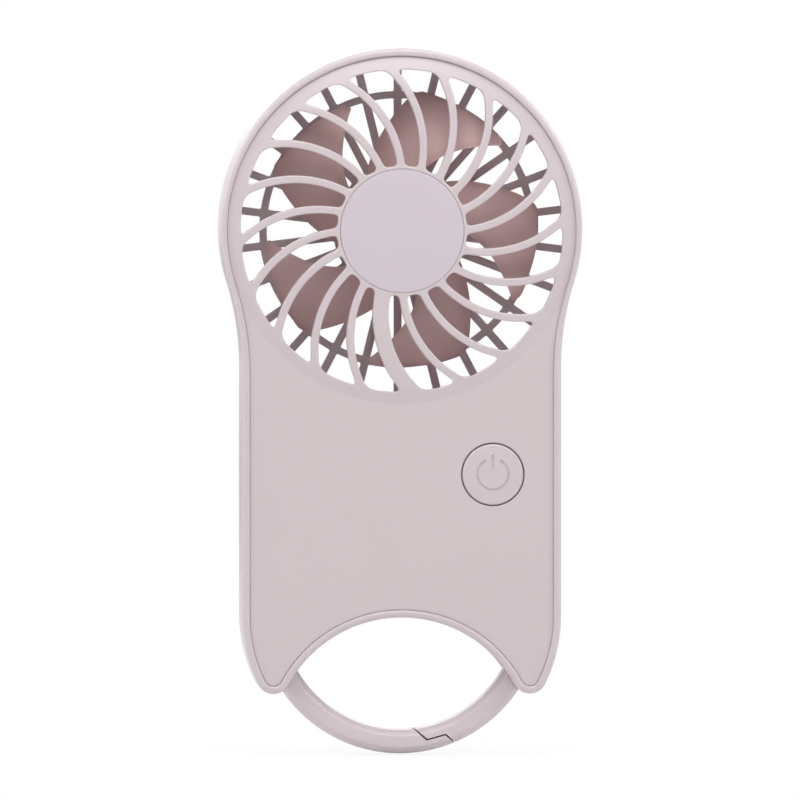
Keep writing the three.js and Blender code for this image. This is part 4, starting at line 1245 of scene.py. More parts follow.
@dataclass
class PowerButton:
    """The round push button with its recessed power symbol."""

    centre: Point = (19.4, 14.35)
    radius: float = 6.5
    front_y: float = -20.1
    edge: float = 0.45
    flange_radius: float = 7.7
    flange_front_y: float = -18.1
    flange_rear_y: float = -17.1
    stem_radius: float = 1.6
    stem_y: float = -15.1
    symbol_radius: float = 3.3
    stroke: float = 0.5
    symbol_depth: float = 0.25
    flare: float = 0.06
    opening: float = math.radians(32.0)
    bar: Point = (1.15, 4.15)
    groove_past: float = 1.0
    ring_steps: int = 48
    end_steps: int = 8
    bar_steps: int = 10
    edge_steps: int = 6
    steps: int = 128

    def groove(self, outline: Sequence[Point]) -> Object:
        """Makes a cutter for one stroke of the symbol, a little wider at the top.

        Args:
            outline: The stroke's outline.

        Returns:
            The cutter.
        """
        builder = MeshBuilder()
        floor = self.front_y + self.symbol_depth
        top_y = self.front_y - self.groove_past
        wide, narrow = grown(outline, self.flare), grown(outline, -self.flare)
        builder.stack([
            (wide, top_y), (wide, self.front_y), (outline, self.front_y + self.flare),
            (outline, floor - self.flare), (narrow, floor),
        ])
        builder.fill([wide], top_y)
        builder.fill([narrow], floor)
        return builder.build("groove")

    def strokes(self) -> list[list[Point]]:
        """The outlines of the symbol's open ring and upright bar, with round ends.

        Returns:
            The two outlines.
        """
        half = self.stroke / 2
        start = QUARTER + self.opening
        end = QUARTER - self.opening + FULL
        first = polar(self.centre, self.symbol_radius, start)
        last = polar(self.centre, self.symbol_radius, end)
        ring = arc(self.centre, self.symbol_radius + half, start, end, self.ring_steps)
        ring += arc(last, half, end, end + math.pi, self.end_steps)[1:-1]
        ring += arc(self.centre, self.symbol_radius - half, end, start, self.ring_steps)
        ring += arc(first, half, start + math.pi, start + FULL, self.end_steps)[1:-1]
        x, z = self.centre
        bar = arc((x, z + self.bar[1] - half), half, 0.0, math.pi, self.bar_steps)
        bar += arc((x, z + self.bar[0] + half), half, math.pi, FULL, self.bar_steps)
        return [ring, bar]

    def build(self) -> Object:
        """Builds the button.

        Returns:
            The button.
        """
        builder = MeshBuilder()
        edge = quarter_round(self.edge, self.edge_steps)
        builder.lathe([
            (0.0, self.front_y), *((self.radius - back, self.front_y + drop) for drop, back in edge),
            (self.radius, self.flange_front_y), (self.flange_radius, self.flange_front_y),
            (self.flange_radius, self.flange_rear_y), (self.stem_radius, self.flange_rear_y),
            (self.stem_radius, self.stem_y), (0.0, self.stem_y),
        ], self.centre, self.steps)
        button = builder.build("power_button_skin")
        for outline in self.strokes():
            button = boolean(button, self.groove(outline), "DIFFERENCE")
        return button


@dataclass
class Case:
    """What both halves of the case share."""

    outline: CaseOutline = field(default_factory=CaseOutline)
    hoop: Hoop = field(default_factory=Hoop)
    screws: Screws = field(default_factory=Screws)
    sides: Sides = field(default_factory=Sides)
    button: PowerButton = field(default_factory=PowerButton)
    wall: float = 1.8
    boss_radius: float = 2.6
    socket_radius: float = 2.3

    def pin_socket(self, rear_y: float, front_y: float) -> Object:
        """A socket for an end of the gate's pin."""
        radii = (self.socket_radius, self.hoop.pin_bore)
        return tube("pin_socket", self.hoop.pivot, radii, rear_y, front_y)

    def cut(self, cover: Object, *more: Object) -> Object:
        """Cuts the sides' openings out of a cover.

        Args:
            cover: The cover, which is used up.
            more: Cutters for whatever else is cut out of it.

        Returns:
            The cut cover.
        """
        for cutter in (*self.sides.cutters(self.outline.half_width, self.hoop), *more):
            cover = boolean(cover, cutter, "DIFFERENCE")
        return cover


# The covers


@dataclass
class FrontCover:
    """The front half of the case: rim, face, domed grille and the seats behind them."""

    case: Case
    parting_y: float = -10.15
    face_y: float = -20.0
    inner_y: float = -18.4
    rim_height: float = 0.6
    rim_fillet: float = 1.0
    rim_inner_fillet: float = 0.42
    side_rim: float = 1.62
    arch_rim: float = 1.6
    recess_radius: float = 37.15
    recess_tip: float = 2.0
    groove_depth: float = 0.22
    groove_width: float = 0.15
    dome_radius: float = 36.95
    dome_edge_radius: float = 34.28
    dome_power: float = 4.2
    foot_softness: float = 0.05
    foot_margin: float = 0.03
    hub_y: float = -22.0
    hub_radius: float = 13.8
    hub_ring_radius: float = 13.45
    cell_outer_radius: float = 34.62
    badge_seat_radius: float = 13.18
    badge_seat_y: float = -21.3
    badge_seat_chamfer: float = 0.1
    pocket_radius: float = 12.2
    pocket_y: float = -19.8
    skirt_y: float = -17.6
    collar: Point = (3.3, 4.2)
    collar_y: float = -18.0
    rib_count: int = 20
    rib_arc_radius: float = 23.23
    rib_arc_centre: Point = (-18.68, 17.8)
    rib_width: float = 1.6
    wide_rib_width: float = 3.35
    wide_rib: int = 10
    inner_corner: float = 1.1
    outer_corner: float = 1.7
    button_hole: float = 6.75
    button_fillet: float = 0.2
    button_margin: float = 0.1
    wires_width: float = 2.3
    wires_y: Point = (-16.6, -19.3)
    wires_past: Point = (0.3, 3.0)
    screw_play: float = 0.3
    posts: tuple[Point, Point] = ((-2.0, 20.5), (15.8, 1.0))
    post_radii: Point = (2.2, 1.0)
    post_y: float = -10.6
    sunk: float = 0.1
    hub_steps: int = 160
    foot_steps: int = 240
    button_steps: int = 96
    rim_steps: int = 8
    fillet_steps: int = 4
    flank_steps: int = 8
    groove_steps: int = 24

    @property
    def pitch(self) -> float:
        """The angle between two ribs."""
        return FULL / self.rib_count

    def rib_angle(self, radius: float, offset: float, index: int) -> float:
        """The angle of a rib's edge at a radius.

        Args:
            radius: The radius.
            offset: How far the edge lies outside the rib's middle line.
            index: The rib's number.

        Returns:
            The angle.
        """
        reach = math.hypot(*self.rib_arc_centre)
        edge = self.rib_arc_radius + offset
        cosine = (radius ** 2 + reach ** 2 - edge ** 2) / (2 * radius * reach)
        towards = math.atan2(self.rib_arc_centre[1], self.rib_arc_centre[0])
        return towards - math.acos(cosine) + index * self.pitch

    def half_rib(self, index: int) -> float:
        """Half the width of a rib."""
        return (self.wide_rib_width if index % self.rib_count == self.wide_rib else self.rib_width) / 2

    def dome_y(self, radius: float) -> float:
        """The dome's front: flat at the hub, steeper outwards and soft at its foot.

        Args:
            radius: The radius.

        Returns:
            The Y.
        """
        if radius <= self.hub_radius:
            return self.hub_y
        share = min((radius - self.hub_radius) / (self.dome_radius - self.hub_radius), 1.0)
        rise = 1.0 - share ** self.dome_power
        soft = rise * rise * (1.0 + self.foot_softness) / (rise + self.foot_softness)
        return lerp(self.face_y, self.hub_y, soft)

    def add_cell(self, builder: MeshBuilder, index: int) -> None:
        """Adds the grille between one rib's middle line and the next one's.

        Args:
            builder: The mesh that it goes into.
            index: The first rib's number.
        """
        cell = GrilleCell()
        border = cell.loop(
            (self.hub_ring_radius, self.cell_outer_radius),
            lambda radius: self.rib_angle(radius, 0.0, index),
            lambda radius: self.rib_angle(radius, 0.0, index + 1),
        )
        opening = cell.loop(
            (self.hub_radius, self.dome_edge_radius),
            lambda radius: self.rib_angle(radius, -self.half_rib(index), index),
            lambda radius: self.rib_angle(radius, self.half_rib(index + 1), index + 1),
        )
        opening = cell.rounded(opening, self.inner_corner, self.outer_corner)
        Sheet(self.dome_y, self.inner_y).add_cell(builder, border, opening)

    def grille(self, arrays: RadialArray, plastic: Material) -> list[Object]:
        """The ribs: a regular cell repeated, and the two beside the wide rib.

        Args:
            arrays: The tree that repeats them.
            plastic: Their material.

        Returns:
            The two groups of ribs.
        """
        groups = (
            ("regular_ribs", (self.wide_rib + 1,), self.rib_count - 2),
            ("wide_rib", (self.wide_rib - 1, self.wide_rib), 1),
        )
        items = []
        for name, cells, count in groups:
            builder = MeshBuilder()
            for index in cells:
                self.add_cell(builder, index)
            items.append(arrays.repeat(builder.build("rib_cell"), name, count, self.pitch, plastic))
        return items

    def hub(self) -> Object:
        """The hub: the badge's seat in front, the motor's pocket and collar behind.

        Returns:
            The hub.
        """
        builder = MeshBuilder()
        turn = self.rib_angle(self.hub_ring_radius, 0.0, 0)
        inner, outer = self.collar
        ring, seat, pocket = self.hub_ring_radius, self.badge_seat_radius, self.pocket_radius
        builder.lathe([
            (ring, self.hub_y), (seat + self.badge_seat_chamfer, self.hub_y),
            (seat, self.hub_y + self.badge_seat_chamfer), (seat, self.badge_seat_y),
            (0.0, self.badge_seat_y),
        ], AXIS, self.hub_steps, turn)
        builder.lathe([
            (0.0, self.pocket_y), (inner, self.pocket_y), (inner, self.collar_y), (outer, self.collar_y),
            (outer, self.pocket_y), (pocket, self.pocket_y), (pocket, self.skirt_y),
            (ring, self.skirt_y), (ring, self.inner_y),
        ], AXIS, self.hub_steps, turn)
        return builder.build("hub")

    def recess(self, inset: float) -> list[Point]:
        """The outline of the recess inside the rim, drawn in further by an inset."""
        tip, head = self.recess_tip - inset, self.recess_radius - inset
        return self.case.outline.at(self.side_rim + inset, self.arch_rim + inset, tip, head)

    def rim(self) -> list[Level]:
        """The wall and the rim, from the inside wall's top to the face's edge.

        Returns:
            Outlines at their depths.
        """
        shape = self.case.outline
        crest_y = self.face_y - self.rim_height
        floor_y = self.face_y + self.groove_depth
        inside, face = shape.at(self.case.wall), self.recess(self.groove_width)
        outer_side = quarter_round(self.rim_fillet, self.rim_steps)
        inner_side = quarter_round(self.rim_inner_fillet, self.fillet_steps)
        return [
            (inside, self.inner_y), (inside, self.parting_y), *shape.parting_edge(self.parting_y, -1),
            *((shape.at(inset), crest_y + drop) for inset, drop in outer_side),
            *((self.recess(-back), crest_y + drop) for drop, back in inner_side),
            (self.recess(0.0), floor_y), (face, floor_y), (face, self.face_y),
        ]

    def foot(self, radius: float) -> list[Point]:
        """A circle round the fan's axis whose points meet the ribs' cells."""
        return circle(AXIS, radius, self.foot_steps, self.rib_angle(self.cell_outer_radius, 0.0, 0))

    def shell(self) -> Object:
        """The wall, the rim, the face and the dome's flank.

        Returns:
            The shell, open where the grille goes.
        """
        builder = MeshBuilder()
        builder.stack(self.rim())
        support = self.foot(self.dome_radius + self.foot_margin)
        flank = []
        for step in range(self.flank_steps + 1):
            radius = lerp(self.cell_outer_radius, self.dome_radius, step / self.flank_steps)
            flank.append((self.foot(radius), self.dome_y(radius)))
        builder.stack([*flank, (support, self.face_y)])
        middle = self.case.button.centre
        hole = circle(middle, self.button_hole, self.button_steps)
        edge_radius = self.button_hole + self.button_fillet + self.button_margin
        edge = circle(middle, edge_radius, self.button_steps)
        mouth = [
            (circle(middle, self.button_hole + back, self.button_steps), self.face_y + drop)
            for back, drop in quarter_round(self.button_fillet, self.fillet_steps)
        ]
        builder.stack([(hole, self.inner_y), *mouth, (edge, self.face_y)])
        builder.fill([self.recess(self.groove_width), support, edge], self.face_y)
        inner_foot = self.foot(self.dome_radius)
        builder.stack([(self.foot(self.cell_outer_radius), self.inner_y), (inner_foot, self.inner_y)])
        builder.fill([self.case.outline.at(self.case.wall), inner_foot, hole], self.inner_y)
        return builder.build("front_shell")

    def seats(self) -> list[Object]:
        """The screw pillars, the board's posts and the gate pin's socket.

        Returns:
            The seats.
        """
        case = self.case
        front_y = self.inner_y - self.sunk
        radii = (case.boss_radius, case.screws.shank_radius + self.screw_play)
        places = case.screws.places(case.hoop)
        return [
            *(tube("pillar", place, radii, self.parting_y, front_y) for place in places),
            *(tube("post", place, self.post_radii, self.post_y, front_y) for place in self.posts),
            case.pin_socket(case.hoop.front_y - case.hoop.gap, front_y),
        ]

    def wire_groove(self) -> Object:
        """The groove for the motor's wires in the back of the wide rib.

        Returns:
            The cutter.
        """
        x, z = turned(self.rib_arc_centre, ORIGIN, self.wide_rib * self.pitch)
        centre = (AXIS[0] + x, AXIS[1] + z)

        def towards(radius: float) -> float:
            """The direction from the arc's centre to the rib's middle line at a radius."""
            x, z = polar(AXIS, radius, self.rib_angle(radius, 0.0, self.wide_rib))
            return math.atan2(z - centre[1], x - centre[0])

        start = towards(self.pocket_radius - self.wires_past[0])
        sweep = (towards(self.dome_radius + self.wires_past[1]) - start) % FULL
        half = self.wires_width / 2
        radii = (self.rib_arc_radius - half, self.rib_arc_radius + half)
        outline = ring_sector(centre, *radii, start, start + sweep, self.groove_steps)
        return prism("wire_groove", outline, *self.wires_y)

    def build(self, arrays: RadialArray, plastic: Material) -> Object:
        """Builds the whole cover as one object.

        Args:
            arrays: The tree that repeats the ribs.
            plastic: The ribs' material.

        Returns:
            The cover.
        """
        name = "front_cover_skin"
        cover = combined([self.shell(), self.hub(), *self.grille(arrays, plastic)], name)
        return combined([self.case.cut(cover, self.wire_groove()), *self.seats()], name)


@dataclass
class RearCover:
    """The rear half of the case: back face, rear grille, air duct, parting lip and bosses."""

    case: Case
    parting_y: float = -9.85
    inner_y: float = -1.6
    back_edge: float = 1.6
    back_margin: float = 0.1
    lip_outer: float = 2.1
    lip_inner: float = 2.9
    lip_height: float = 1.4
    spoke_count: int = 26
    spoke_width: float = 1.7
    hub_radius: float = 13.8
    hub_ring_radius: float = 13.4
    ring_radius: float = 28.8
    ring_width: float = 1.6
    opening_radius: float = 35.5
    duct_radius: float = 35.55
    duct_outer_radius: float = 36.35
    duct_front_y: float = -18.1
    duct_margin: float = 0.2
    corner: float = 0.3
    bore: float = 1.2
    sink_radius: float = 2.4
    sink_y: float = -1.9
    sink_fillet: float = 0.2
    sink_margin: float = 0.1
    sink_steps: int = 64
    cell_x: Point = (-26.15, 22.15)
    cell_z: Point = (-8.0, 23.75)
    cell_gap: float = 0.3
    cell_rib: Place = (1.0, 3.0, 16.0)
    pin_floor_y: float = -3.1
    pin_overlap: float = 0.01
    sunk: float = 0.1
    ring_steps: int = 6
    duct_steps: int = 10
    edge_steps: int = 10
    fillet_steps: int = 3

    @property
    def pitch(self) -> float:
        """The angle between two spokes."""
        return FULL / self.spoke_count

    def spoke(self, side: float, index: int = 0) -> Edge:
        """A rule for the angle of a spoke's edge.

        Args:
            side: -1 or 1 for the spoke's edges and 0 for its middle.
            index: 0 for the first spoke and 1 for the next one.

        Returns:
            The rule.
        """
        return lambda radius: (
            QUARTER + side * math.asin(self.spoke_width / 2 / radius) + index * self.pitch
        )

    def grille(self, arrays: RadialArray, plastic: Material) -> Object:
        """The rear grille: one sector with two openings, repeated.

        Args:
            arrays: The tree that repeats it.
            plastic: Its material.

        Returns:
            The grille.
        """
        builder = MeshBuilder()
        half = self.ring_width / 2
        rows = (
            (GrilleCell(self.duct_steps, self.ring_steps, self.ring_steps),
             (self.hub_ring_radius, self.ring_radius), (self.hub_radius, self.ring_radius - half)),
            (GrilleCell(self.ring_steps, self.ring_steps, self.duct_steps),
             (self.ring_radius, self.duct_radius), (self.ring_radius + half, self.opening_radius)),
        )
        for cell, border_radii, opening_radii in rows:
            border = cell.loop(border_radii, self.spoke(0.0), self.spoke(0.0, 1))
            opening = cell.loop(opening_radii, self.spoke(1.0), self.spoke(-1.0, 1))
            opening = cell.rounded(opening, self.corner, self.corner)
            Sheet(lambda radius: 0.0, self.inner_y).add_cell(builder, border, opening)
        return arrays.repeat(
            builder.build("rear_sector"), "rear_grille", self.spoke_count, self.pitch, plastic,
        )

    def hub(self) -> Object:
        """The plain disc in the middle of the rear grille.

        Returns:
            The disc.
        """
        builder = MeshBuilder()
        ring = self.hub_ring_radius
        steps = self.ring_steps * self.spoke_count
        for y in (0.0, self.inner_y):
            builder.lathe([(ring, y), (ring / 2, y), (0.0, y)], AXIS, steps, QUARTER)
        return builder.build("rear_hub")

    def wall(self) -> list[Level]:
        """The wall with its lip, from the inside wall's rear end to the back face's edge.

        Returns:
            Outlines at their depths.
        """
        shape = self.case.outline
        insets = (self.case.wall, self.lip_inner, self.lip_outer)
        inside, inner, outer = (shape.at(inset) for inset in insets)
        low, high = self.parting_y + self.lip_height, self.parting_y - self.lip_height
        back = [(shape.at(inset), -rest) for inset, rest in quarter_round(self.back_edge, self.edge_steps)]
        return [
            (inside, self.inner_y), (inside, low), (inner, low), (inner, high), (outer, high),
            (outer, self.parting_y), *shape.parting_edge(self.parting_y, 1), *back,
            (shape.at(self.back_edge + self.back_margin), 0.0),
        ]

    def screw_seat(self, builder: MeshBuilder, place: Point) -> tuple[list[Point], list[Point]]:
        """Adds a screw's bore, its sink in the back face and its boss.

        Args:
            builder: The mesh that they go into.
            place: The screw's middle.

        Returns:
            The outlines of the sink's rim and the boss.
        """

        def ring(radius: float) -> list[Point]:
            """A circle round the screw."""
            return circle(place, radius, self.sink_steps)

        sink = self.sink_radius
        fillet = quarter_round(self.sink_fillet, self.fillet_steps)
        rim = ring(sink + self.sink_fillet + self.sink_margin)
        boss = ring(self.case.boss_radius)
        builder.stack([
            (boss, self.inner_y), (boss, self.parting_y), (ring(self.bore), self.parting_y),
            (ring(self.bore), self.sink_y), (ring(sink), self.sink_y),
            *((ring(sink + back), -drop) for back, drop in fillet), (rim, 0.0),
        ])
        return rim, boss

    def shell(self) -> Object:
        """The wall with its lip, the back face with the screws' sinks, and the duct.

        Returns:
            The shell, open where the grille goes.
        """
        builder = MeshBuilder()
        shape = self.case.outline
        builder.stack(self.wall())

        def ring(radius: float) -> list[Point]:
            """A circle round the fan's axis whose points meet the grille's cells."""
            return circle(AXIS, radius, self.duct_steps * self.spoke_count, QUARTER)

        duct, outside = ring(self.duct_radius), ring(self.duct_outer_radius)
        edge = ring(self.duct_radius + self.duct_margin)
        builder.stack([(duct, 0.0), (edge, 0.0)])
        builder.stack([
            (duct, self.inner_y), (duct, self.duct_front_y),
            (outside, self.duct_front_y), (outside, self.inner_y),
        ])
        seats = [self.screw_seat(builder, place) for place in self.case.screws.places(self.case.hoop)]
        border = shape.at(self.back_edge + self.back_margin)
        builder.fill([border, edge, *(rim for rim, boss in seats)], 0.0)
        builder.fill([shape.at(self.case.wall), outside, *(boss for rim, boss in seats)], self.inner_y)
        return builder.build("rear_shell")

    def cell_ribs(self) -> list[Object]:
        """The four ribs round the battery.

        Returns:
            The ribs.
        """
        thick, height, length = self.cell_rib
        ribs = []
        for across in (False, True):
            along_range, across_range = (self.cell_z, self.cell_x) if across else (self.cell_x, self.cell_z)
            middle = sum(along_range) / 2
            low, high = across_range[0] - self.cell_gap, across_range[1] + self.cell_gap
            for start, end in ((low - thick, low), (high, high + thick)):
                points = [
                    (middle - length / 2, start), (middle + length / 2, start),
                    (middle + length / 2, end), (middle - length / 2, end),
                ]
                outline = [(z, x) for x, z in points] if across else points
                ribs.append(prism("cell_rib", outline, self.inner_y + self.sunk, self.inner_y - height))
        return ribs

    def seats(self) -> list[Object]:
        """The ribs round the battery and the gate pin's socket.

        Returns:
            The seats.
        """
        case = self.case
        radii = (case.socket_radius, 0.0)
        floor_y = self.pin_floor_y + self.pin_overlap
        return [
            *self.cell_ribs(), case.pin_socket(self.pin_floor_y, case.hoop.rear_y + case.hoop.gap),
            tube("pin_foot", case.hoop.pivot, radii, self.inner_y + self.sunk, floor_y),
        ]

    def build(self, arrays: RadialArray, plastic: Material) -> Object:
        """Builds the whole cover as one object.

        Args:
            arrays: The tree that repeats the rear grille's sector.
            plastic: The grille's material.

        Returns:
            The cover.
        """
        name = "rear_cover_skin"
        cover = combined([self.shell(), self.hub(), self.grille(arrays, plastic)], name)
        return combined([self.case.cut(cover), *self.seats()], name)


# The impeller, the badge, the clip and the port


@dataclass(frozen=True)
class Curve:
    """A smooth curve through a table of places, walked by an even share of its table."""

    table: tuple[Point, ...]

    def at(self, share: float) -> Point:
        """The place at a share of the way.

        Args:
            share: 0 at the table's first place and 1 at its last one.

        Returns:
            The place.
        """
        spans = len(self.table) - 1
        span = min(int(share * spans), spans - 1)
        t = share * spans - span
        picks = (max(span - 1, 0), span, span + 1, min(span + 2, spans))
        first, second = (
            b + 0.5 * t * (c - a + t * (2 * a - 5 * b + 4 * c - d + t * (3 * (b - c) + d - a)))
            for a, b, c, d in zip(*(self.table[pick] for pick in picks))
        )
        return (first, second)


@dataclass
class Impeller:
    """The impeller: a smooth hub and sickle blades, swept between two edges and a tip.

    The three curves go through places of degrees clockwise from straight up, and of shares of
    the way from the root's radius to the full one.
    """

    radius: float = 30.15
    root_radius: float = 11.82
    hub_outer: float = 12.2
    hub_inner: float = 11.2
    hub_edge: float = 1.0
    rim_y: float = -17.0
    rear_y: float = -5.9
    cap: float = 1.5
    bore: float = 1.05
    seat_radius: float = 6.0
    seat_depth: float = 3.6
    boss_radius: float = 1.9
    boss_depths: Point = (3.5, 5.1)
    blade_rear_y: float = -6.3
    blade_depth: float = 9.0
    thickness: float = 1.1
    edge_thickness: float = 0.45
    edge_share: float = 0.12
    tip_stretch: float = 1.5
    tip_power: int = 3
    crown: float = 0.9
    blade_count: int = 5
    hub_steps: int = 128
    edge_steps: int = 6
    steps: int = 36
    leading: Curve = Curve(
        ((38, 0), (41.9, 0.097), (54.4, 0.329), (66.2, 0.605), (77.5, 0.926), (81.6, 0.99)),
    )
    trailing: Curve = Curve(
        ((90.5, 0), (92.5, 0.097), (100.6, 0.316), (106.2, 0.457), (113.8, 0.648), (122, 0.885)),
    )
    tip: Curve = Curve(
        ((81.6, 0.99), (87.5, 0.975), (96.2, 0.959), (108.8, 0.942), (118.5, 0.947), (122, 0.885)),
    )

    def hub(self) -> Object:
        """The cup round the motor, with a round rear edge.

        Returns:
            The cup with the shaft's seat.
        """
        rear, cap_y = self.rear_y, self.rear_y - self.cap
        inner, outer = self.hub_inner, self.hub_outer
        edge = quarter_round(self.hub_edge, self.edge_steps)
        builder = MeshBuilder()
        builder.lathe([
            (0.0, cap_y), (inner, cap_y), (inner, self.rim_y), (outer, self.rim_y),
            *((outer - back, rear - drop) for back, drop in edge), (0.0, rear),
        ], AXIS, self.hub_steps)
        seat = tube("seat", AXIS, (self.seat_radius, self.bore), cap_y, rear - self.seat_depth)
        boss_y = [rear - depth for depth in self.boss_depths]
        boss = tube("boss", AXIS, (self.boss_radius, self.bore), *boss_y)
        return combined([builder.build("hub_cup"), seat, boss], "impeller_hub")

    def place(self, outward: float, across: float, side: int) -> Place:
        """A place on a blade round the Y axis through the origin.

        Args:
            outward: 0 at the root and 1 at the tip.
            across: 0 at the leading edge and 1 at the trailing edge.
            side: -1 for the front face and 1 for the rear one.

        Returns:
            The place.
        """
        degrees, share = between(self.leading.at(outward), self.trailing.at(outward), across)
        straight = between(self.leading.at(1.0), self.trailing.at(1.0), across)
        edge = self.tip.at(across)
        pull = outward ** self.tip_power
        degrees += (edge[0] - straight[0]) * pull
        share += (edge[1] - straight[1]) * pull
        border = min(across, 1 - across, (1 - outward) * self.tip_stretch) / self.edge_share
        held = min(max(border, 0.0), 1.0)
        thick = lerp(self.edge_thickness, self.thickness, held * held * (3.0 - 2.0 * held))
        middle = self.blade_rear_y - self.thickness / 2 - (self.blade_depth - self.thickness) * across
        middle -= self.crown * math.sin(math.pi * across)
        x, z = polar(ORIGIN, lerp(self.root_radius, self.radius, share), math.radians(90 - degrees))
        return (x, middle + side * thick / 2, z)

    def blade(self) -> Object:
        """One blade, thin at its edges.

        Returns:
            The blade.
        """
        builder = MeshBuilder()
        shares = [i / self.steps for i in range(self.steps + 1)]
        front, back = (
            [builder.add(self.place(outward, across, side) for across in shares) for outward in shares]
            for side in (-1, 1)
        )
        builder.bridge(front, closed=False)
        builder.bridge(back, closed=False)
        for end in (0, -1):
            builder.bridge([front[end], back[end]], closed=False)
            builder.bridge([[row[end] for row in front], [row[end] for row in back]], closed=False)
        return builder.build("blade", sharp=SOFT_SHARP)

    def build(self, arrays: RadialArray, plastic: Material) -> Object:
        """Builds the impeller as one object.

        Args:
            arrays: The tree that repeats the blade.
            plastic: The blades' material.

        Returns:
            The impeller.
        """
        pitch = -FULL / self.blade_count
        blades = arrays.repeat(self.blade(), "blades", self.blade_count, pitch, plastic)
        return combined([self.hub(), blades], "impeller_skin", sharp=SOFT_SHARP)


@dataclass
class HubBadge:
    """The plain disc in the middle of the front grille."""

    radius: float = 13.12
    front_y: float = -22.0
    rear_y: float = -21.45
    edge: float = 0.16
    border: float = 2.0
    chamfer: float = 0.1
    edge_steps: int = 5
    steps: int = 160

    def build(self) -> Object:
        """Builds the disc with its rounded front edge.

        Returns:
            The disc.
        """
        edge = quarter_round(self.edge, self.edge_steps)
        builder = MeshBuilder()
        builder.lathe([
            (0.0, self.front_y), (self.radius - self.border, self.front_y),
            *((self.radius - back, self.front_y + drop) for drop, back in edge),
            (self.radius, self.rear_y - self.chamfer), (self.radius - self.chamfer, self.rear_y),
            (0.0, self.rear_y),
        ], AXIS, self.steps)
        return builder.build("hub_badge_skin", sharp=SOFT_SHARP)


@dataclass
class ClipParts:
    """The clip: the hoop's fixed part and its sprung gate, cut from one smooth ring."""

    hoop: Hoop
    joint_angles: tuple[float, ...] = (6.8, 11.7, 20.2, 22.6)
    tongue_radius: float = 28.0
    round_edge: float = 0.45
    step_shares: Point = (0.66, -3.0)
    recess_radius: float = 4.27
    recess_y: float = -8.6
    past: float = 1.0
    bore_past: float = 5.0
    steps: int = 240
    corner_steps: int = 5
    slice_steps: int = 8

    def ring(self, name: str) -> Object:
        """The whole hoop with its chamfered section, each chamfer's corners rounded.

        Args:
            name: The object's name.

        Returns:
            The ring.
        """
        hoop, cut = self.hoop, self.hoop.chamfer
        low, high = hoop.rear_y - cut, hoop.front_y + cut
        near, far = hoop.inner + cut, hoop.outer - cut
        corners = [
            (hoop.inner, low), (hoop.inner, high), (near, hoop.front_y), (far, hoop.front_y),
            (hoop.outer, high), (hoop.outer, low), (far, hoop.rear_y), (near, hoop.rear_y),
        ]
        profile = []
        for before, corner, after in zip([corners[-1], *corners], corners, [*corners[1:], corners[0]]):
            start = between(corner, before, self.round_edge / math.dist(corner, before))
            end = between(corner, after, self.round_edge / math.dist(corner, after))
            shares = [step / self.corner_steps for step in range(self.corner_steps + 1)]
            profile += [bend(start, corner, end, share) for share in shares]
        builder = MeshBuilder()
        builder.lathe([*profile, profile[0]], hoop.centre, self.steps)
        return builder.build(name)

    def slice(self, side: float, end_angle: float) -> Object:
        """The slice of the hoop's plane from the Z cut to an angle.

        Args:
            side: -1 for the hoop and 1 for the gate, which sets the side of the gap.
            end_angle: Where the slice ends.

        Returns:
            The cutter.
        """
        hoop = self.hoop
        start = math.radians(self.joint_angles[-1])
        shares = [step / self.slice_steps for step in range(self.slice_steps + 1)]
        far = [hoop.at(2 * hoop.outer, lerp(start, end_angle, share)) for share in shares]
        outline = [hoop.centre, *self.cut_line(side), *far]
        return prism("hoop_slice", outline, hoop.rear_y + self.past, hoop.front_y - self.past)

    def cut_line(self, share: float) -> list[Point]:
        """The Z cut across the bar.

        Args:
            share: How far it is moved towards the gate, in halves of the gap.

        Returns:
            Points from inside the hoop to outside it.
        """
        hoop = self.hoop
        turn = share * hoop.gap / 2 / hoop.radius
        tongue = self.tongue_radius - share * hoop.gap / 2
        radii = (hoop.inner, tongue, tongue, hoop.outer)
        angles = [math.radians(angle) + turn for angle in self.joint_angles]
        return [
            hoop.at(hoop.inner - hoop.chamfer, angles[0]),
            *(hoop.at(radius, angle) for radius, angle in zip(radii, angles)),
            hoop.at(hoop.outer + self.past, angles[-1]),
        ]

    def step(self) -> Object:
        """The step of the fixed part behind the gap, which closes the view through it.

        Returns:
            The step.
        """
        hoop = self.hoop
        near, far = (self.cut_line(share) for share in self.step_shares)
        middle_y = (hoop.rear_y + hoop.front_y) / 2
        return prism("hoop_step", [*near, *reversed(far)], hoop.rear_y + self.past, middle_y)

    def fixed(self) -> Object:
        """The fixed part with its eye.

        Returns:
            The fixed part.
        """
        hoop = self.hoop
        kept = boolean(self.slice(-1, hoop.eye_angle), self.step(), "UNION")
        part = boolean(self.ring("clip_hoop_skin"), kept, "INTERSECT")
        eye = tube("eye", hoop.eye, (hoop.eye_radius, 0.0), hoop.rear_y, hoop.front_y)
        bore = tube("eye_bore", hoop.eye, (hoop.eye_bore, 0.0), 0.0, hoop.front_y - self.bore_past)
        return boolean(boolean(part, eye, "UNION"), bore, "DIFFERENCE")

    def gate(self) -> Object:
        """The gate with its hub and the spring's recess.

        Returns:
            The gate.
        """
        hoop = self.hoop
        part = boolean(self.ring("clip_gate_skin"), self.slice(1, hoop.pivot_angle), "INTERSECT")
        hub = tube("gate_hub", hoop.pivot, (hoop.half_width, 0.0), hoop.rear_y, hoop.front_y)
        part = boolean(part, hub, "UNION")
        recess_radii = (self.recess_radius, 0.0)
        recess = tube("recess", hoop.pivot, recess_radii, hoop.rear_y + self.past, self.recess_y)
        bore = tube("gate_bore", hoop.pivot, (hoop.pin_bore, 0.0), 0.0, hoop.front_y - self.bore_past)
        return boolean(boolean(part, recess, "DIFFERENCE"), bore, "DIFFERENCE")


